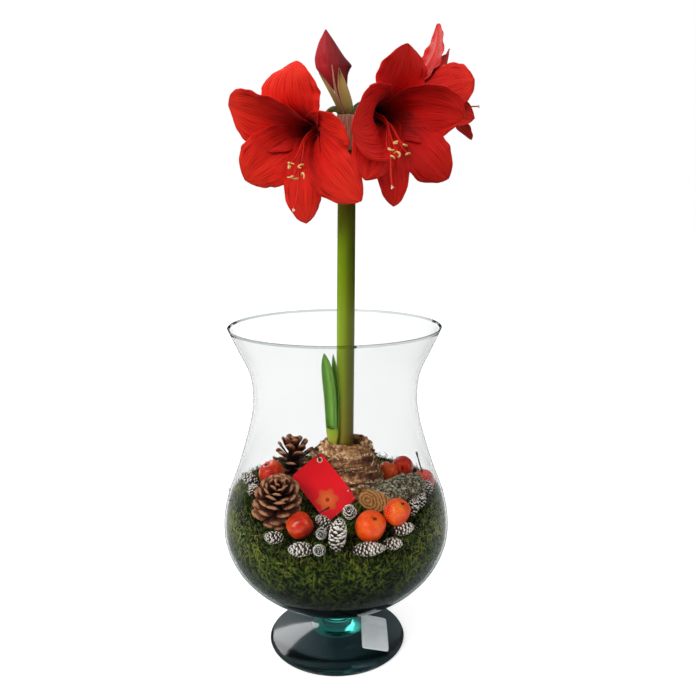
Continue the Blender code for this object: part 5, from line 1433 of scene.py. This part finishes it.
feed(tree, shader, {
    "Base Color": colour, "Roughness": 0.32, "Specular IOR Level": 0.3, "Coat Weight": 0.15,
    "Coat Roughness": 0.2})
# Cut edge of the board: pale, stained by the print, and dull
card_edge, tree, shader = surface("card_core")
feed(tree, shader, {"Base Color": tone("F0B08A"), "Roughness": 0.8})
eye = (-TAG_LENGTH / 2 + TAG_HOLE_IN, TAG_WIDTH / 2 - TAG_HOLE_IN)
corner, sides = 4.0, 96
outline, inner_edge = [], []
for i in range(sides):
    a = 2 * math.pi * i / sides
    dx, dy = math.cos(a), math.sin(a)
    for step in np.linspace(1, 90, 1780):
        px, py = eye[0] + dx * step, eye[1] + dy * step
        qx, qy = abs(px) - (TAG_LENGTH / 2 - corner), abs(py) - (TAG_WIDTH / 2 - corner)
        if math.hypot(max(qx, 0), max(qy, 0)) + min(max(qx, qy), 0) > corner:
            break
        far = step
    outline.append((eye[0] + dx * far, eye[1] + dy * far))
    inner_edge.append((eye[0] + dx * TAG_HOLE, eye[1] + dy * TAG_HOLE))
points, faces, uvs, slots = [], [], [], []
for z in (TAG_THICK / 2, -TAG_THICK / 2):
    points += [(x, y, z) for x, y in outline] + [(x, y, z) for x, y in inner_edge]
# The points run outline and hole on the front, then outline and hole on the back
hole, behind, hole_behind = sides, 2 * sides, 3 * sides
for i in range(sides):
    j = (i + 1) % sides
    for quad, slot in (
            ((i, j, hole + j, hole + i), 0),
            ((behind + j, behind + i, hole_behind + i, hole_behind + j), 0),
            ((j, i, behind + i, behind + j), 1),
            ((hole + i, hole + j, hole_behind + j, hole_behind + i), 1)):
        faces.append(quad[::-1])
        slots.append(slot)
        uvs.append([(points[q][0] / TAG_LENGTH + 0.5, points[q][1] / TAG_WIDTH + 0.5) for q in quad[::-1]])
low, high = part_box("care_card")
card_place = Matrix.Translation((low + high) / 2) @ stand
sheet = piece("card_sheet", np.array(points) * MM, faces, [card, card_edge], uvs=uvs, slots=slots, sharp=30)
# Eyelet: a smooth ring of pressed paper, cream, with little shine
eyelet_pale, tree, shader = surface("paper_eyelet")
feed(tree, shader, {"Base Color": tone("E9D9C4"), "Roughness": 0.5})
EYELET_RADIUS, EYELET_THICK, EYELET_UP = 2.7, 0.42, 0.55
turns = np.arange(41) * 2 * math.pi / 40
path = np.stack([
    eye[0] + EYELET_RADIUS * np.cos(turns), eye[1] + EYELET_RADIUS * np.sin(turns), 0 * turns + EYELET_UP], 1)
ring = loft("eyelet_ring", tube_rings(path * MM, [EYELET_THICK * MM] * 41, 8), eyelet_pale, cap=False)
whole = joined("care_card_printed", [sheet, ring])
whole.data.transform(card_place)
stands_for(whole, "card", "care_card")

# Tie: a thin dark leather cord through the card's eyelet, knotted to a short flat end of ribbon.
# It is stiff and lies on the card's upper corner.

# Leather: nearly black brown, fibrous about 1 mm apart, half dull
tie_dark, tree, shader = surface("dark_leather_cord")
coords = add(tree, "ShaderNodeTexCoord").outputs["Object"]
fibre = add(tree, "ShaderNodeTexNoise", {"Vector": coords, "Scale": 900.0, "Detail": 3.0})
colour = add(tree, "ShaderNodeValToRGB", {"Fac": fibre.outputs["Fac"]}, stops=[
    (0.35, "1B0F0C"), (0.65, "4A2A20")])
feed(tree, shader, {"Base Color": colour, "Roughness": 0.6})
# points of the cord in mm from the eyelet, and its radius
CORD_RADIUS = 0.8
TIE = [
    (1.0, 0.0, -4.0), (0.0, 0.0, -0.6), (-0.6, 0.2, 0.9), (-3.4, 0.6, 1.9), (-9, 1.4, 2.2), (-17, 1.0, 2.6)]
path = smooth_path([np.array(p) + (eye[0], eye[1], 0) for p in TIE], 40) * MM
cord = loft("cord", tube_rings(path, [CORD_RADIUS * MM] * 40, 10), tie_dark)
rows = []
for s in np.linspace(0, 1, 12):
    centre = np.array((
        eye[0] - 3.5 - 13.5 * s, eye[1] + 0.7 + 0.9 * math.sin(2.4 * s), 2.9 + 0.5 * math.sin(5 * s)))
    half = 0.9 + 0.5 * s
    rows.append([centre + (0.4 * w, half * w, 0.25 * w * math.sin(6 * s)) for w in (-1, -0.4, 0.4, 1)])
ribbon = blades("ribbon", [np.array(rows) * MM], 0.25 * MM, tie_dark)
tie = joined("card_cord", [cord, ribbon])
tie.data.transform(card_place)
stands_for(tie, "tie", "card_tie")

# Blank sticker: a thin clear plastic sticker, slightly milky, with rounded corners. It is stuck
# flat on the slope of the glass foot, at the front right.

# Plastic film: almost clear over the dark foot, slightly milky, with a soft shine
film, tree, shader = surface("clear_film_sticker")
coords = add(tree, "ShaderNodeTexCoord").outputs["Object"]
haze = add(tree, "ShaderNodeTexNoise", {"Vector": coords, "Scale": 45.0, "Detail": 3.0, "Distortion": 1.0})
milky = add(tree, "ShaderNodeValToRGB", {"Fac": haze.outputs["Fac"]}, stops=[
    (0.35, "DCE6E8"), (0.7, "F2F8F8")])
feed(tree, shader, {"Base Color": milky, "Roughness": 0.4, "Alpha": 0.86})
points, faces = [], []
ACROSS, DOWN = 20, 30
STICKER_X, STICKER_Y, HALF_WIDTH, HALF_LENGTH, STICKER_UP = 44.5, -11.5, 15.5, 31.5, 0.7
slope = np.array(FOOT[:3])
for v in np.linspace(-1, 1, DOWN + 1):
    for u in np.linspace(-1, 1, ACROSS + 1):
        x = STICKER_X + HALF_WIDTH * u * (1 - 0.06 * v ** 12)
        y = STICKER_Y + HALF_LENGTH * v * (1 - 0.03 * u ** 12)
        z = float(np.interp(math.hypot(x, y), slope[:, 0], slope[:, 1])) + STICKER_UP
        points.append((x * MM, y * MM, z * MM))
for k in range(DOWN):
    for i in range(ACROSS):
        n = k * (ACROSS + 1) + i
        faces.append((n, n + 1, n + ACROSS + 2, n + ACROSS + 1))
sticker = piece("sticker", points, faces, film)
shell = sticker.modifiers.new("thickness", "SOLIDIFY")
shell.thickness = 0.3 * MM
stands_for(applied(sticker), "blank_label", "foot_label")

# Floor, studio light and camera: a wide white floor that glows faintly, like a light table, a
# white room that is dimmer to the sides, three large soft windows of light and one small one.

# The floor lies just clear of the foot's underside
REACH, DOWN_TO = 9, -0.2 * MM
floor = bpy.data.meshes.new("floor")
floor.from_pydata([
    (-REACH, -REACH, DOWN_TO), (REACH, -REACH, DOWN_TO), (REACH, REACH, DOWN_TO), (-REACH, REACH, DOWN_TO)],
    [], [(0, 1, 2, 3)])
floor = bpy.data.objects.new("floor", floor)
bpy.context.scene.collection.objects.link(floor)
# White table: matte, and it glows a little, so that it stays white in the object's shadow
white, tree, shader = surface("white_table")
feed(tree, shader, {
    "Base Color": tone("F8F8F8"), "Roughness": 0.7, "Specular IOR Level": 0.0,
    "Emission Color": tone("FFFFFF"), "Emission Strength": 0.4})
floor.data.materials.append(white)
floor.visible_diffuse = False
floor.visible_glossy = False
room = bpy.data.worlds.new("white_room")
room.use_nodes = True
tree = room.node_tree
heights = add(tree, "ShaderNodeSeparateXYZ", {"Vector": add(tree, "ShaderNodeTexCoord").outputs["Generated"]})
level = add(tree, "ShaderNodeMapRange", {"Value": heights.outputs["Z"], "From Min": -1.0, "From Max": 1.0})
walls = add(tree, "ShaderNodeValToRGB", {"Fac": level}, stops=[
    (0.3, "4A4A4A"), (0.5, "9A9A9A"), (0.8, "DCDCDC")])
dusk = add(tree, "ShaderNodeValToRGB", {"Fac": level}, stops=[
    (0.3, "101010"), (0.5, "3A3A3A"), (0.8, "8A8A8A")])
ray = add(tree, "ShaderNodeLightPath")
glow = add(tree, "ShaderNodeMix", {
    0: ray.outputs["Is Diffuse Ray"], 6: tone("FFFFFF"), 7: walls}, data_type="RGBA")
glow = add(tree, "ShaderNodeMix", {
    0: ray.outputs["Is Glossy Ray"], 6: glow.outputs[2], 7: dusk}, data_type="RGBA")
feed(tree, tree.nodes["Background"], {"Color": glow, "Strength": 1.0})
bpy.context.scene.world = room
for name, place, aim, width, height, power, mirrored in (
        ("window_left", (-1.5, -1.5, 1.5), (0, 0, 0.45), 0.9, 1.3, 34, False),
        ("window_right", (1.8, -1.1, 1.2), (0, 0, 0.4), 0.6, 1.2, 9, False),
        ("window_behind", (-0.9, 1.9, 1.5), (0, 0, 0.2), 0.8, 1.0, 12, True),
        ("window_small", (-0.9, -1.6, 1.9), (0, 0, 0.2), 0.3, 0.4, 3, True)):
    lamp = bpy.data.lights.new(name, "AREA")
    lamp.shape, lamp.size, lamp.size_y, lamp.energy = "RECTANGLE", width, height, power
    lamp = bpy.data.objects.new(name, lamp)
    lamp.location = place
    lamp.rotation_euler = (Vector(aim) - Vector(place)).to_track_quat("-Z", "Y").to_euler()
    lamp.visible_camera = False
    lamp.visible_glossy = mirrored
    bpy.context.scene.collection.objects.link(lamp)
bpy.context.scene.view_settings.view_transform = "Standard"
lens = bpy.data.cameras.new("photo_camera")
lens.lens, lens.sensor_width = 37.1, 36.0
camera = bpy.data.objects.new("photo_camera", lens)
camera.matrix_world = Matrix.Translation((0.01453, -0.78024, 0.51616)) @ Matrix.Rotation(
    math.radians(78.242), 4, "X") @ Matrix.Rotation(math.radians(-0.273), 4, "Z")
bpy.context.scene.collection.objects.link(camera)
bpy.context.scene.camera = camera
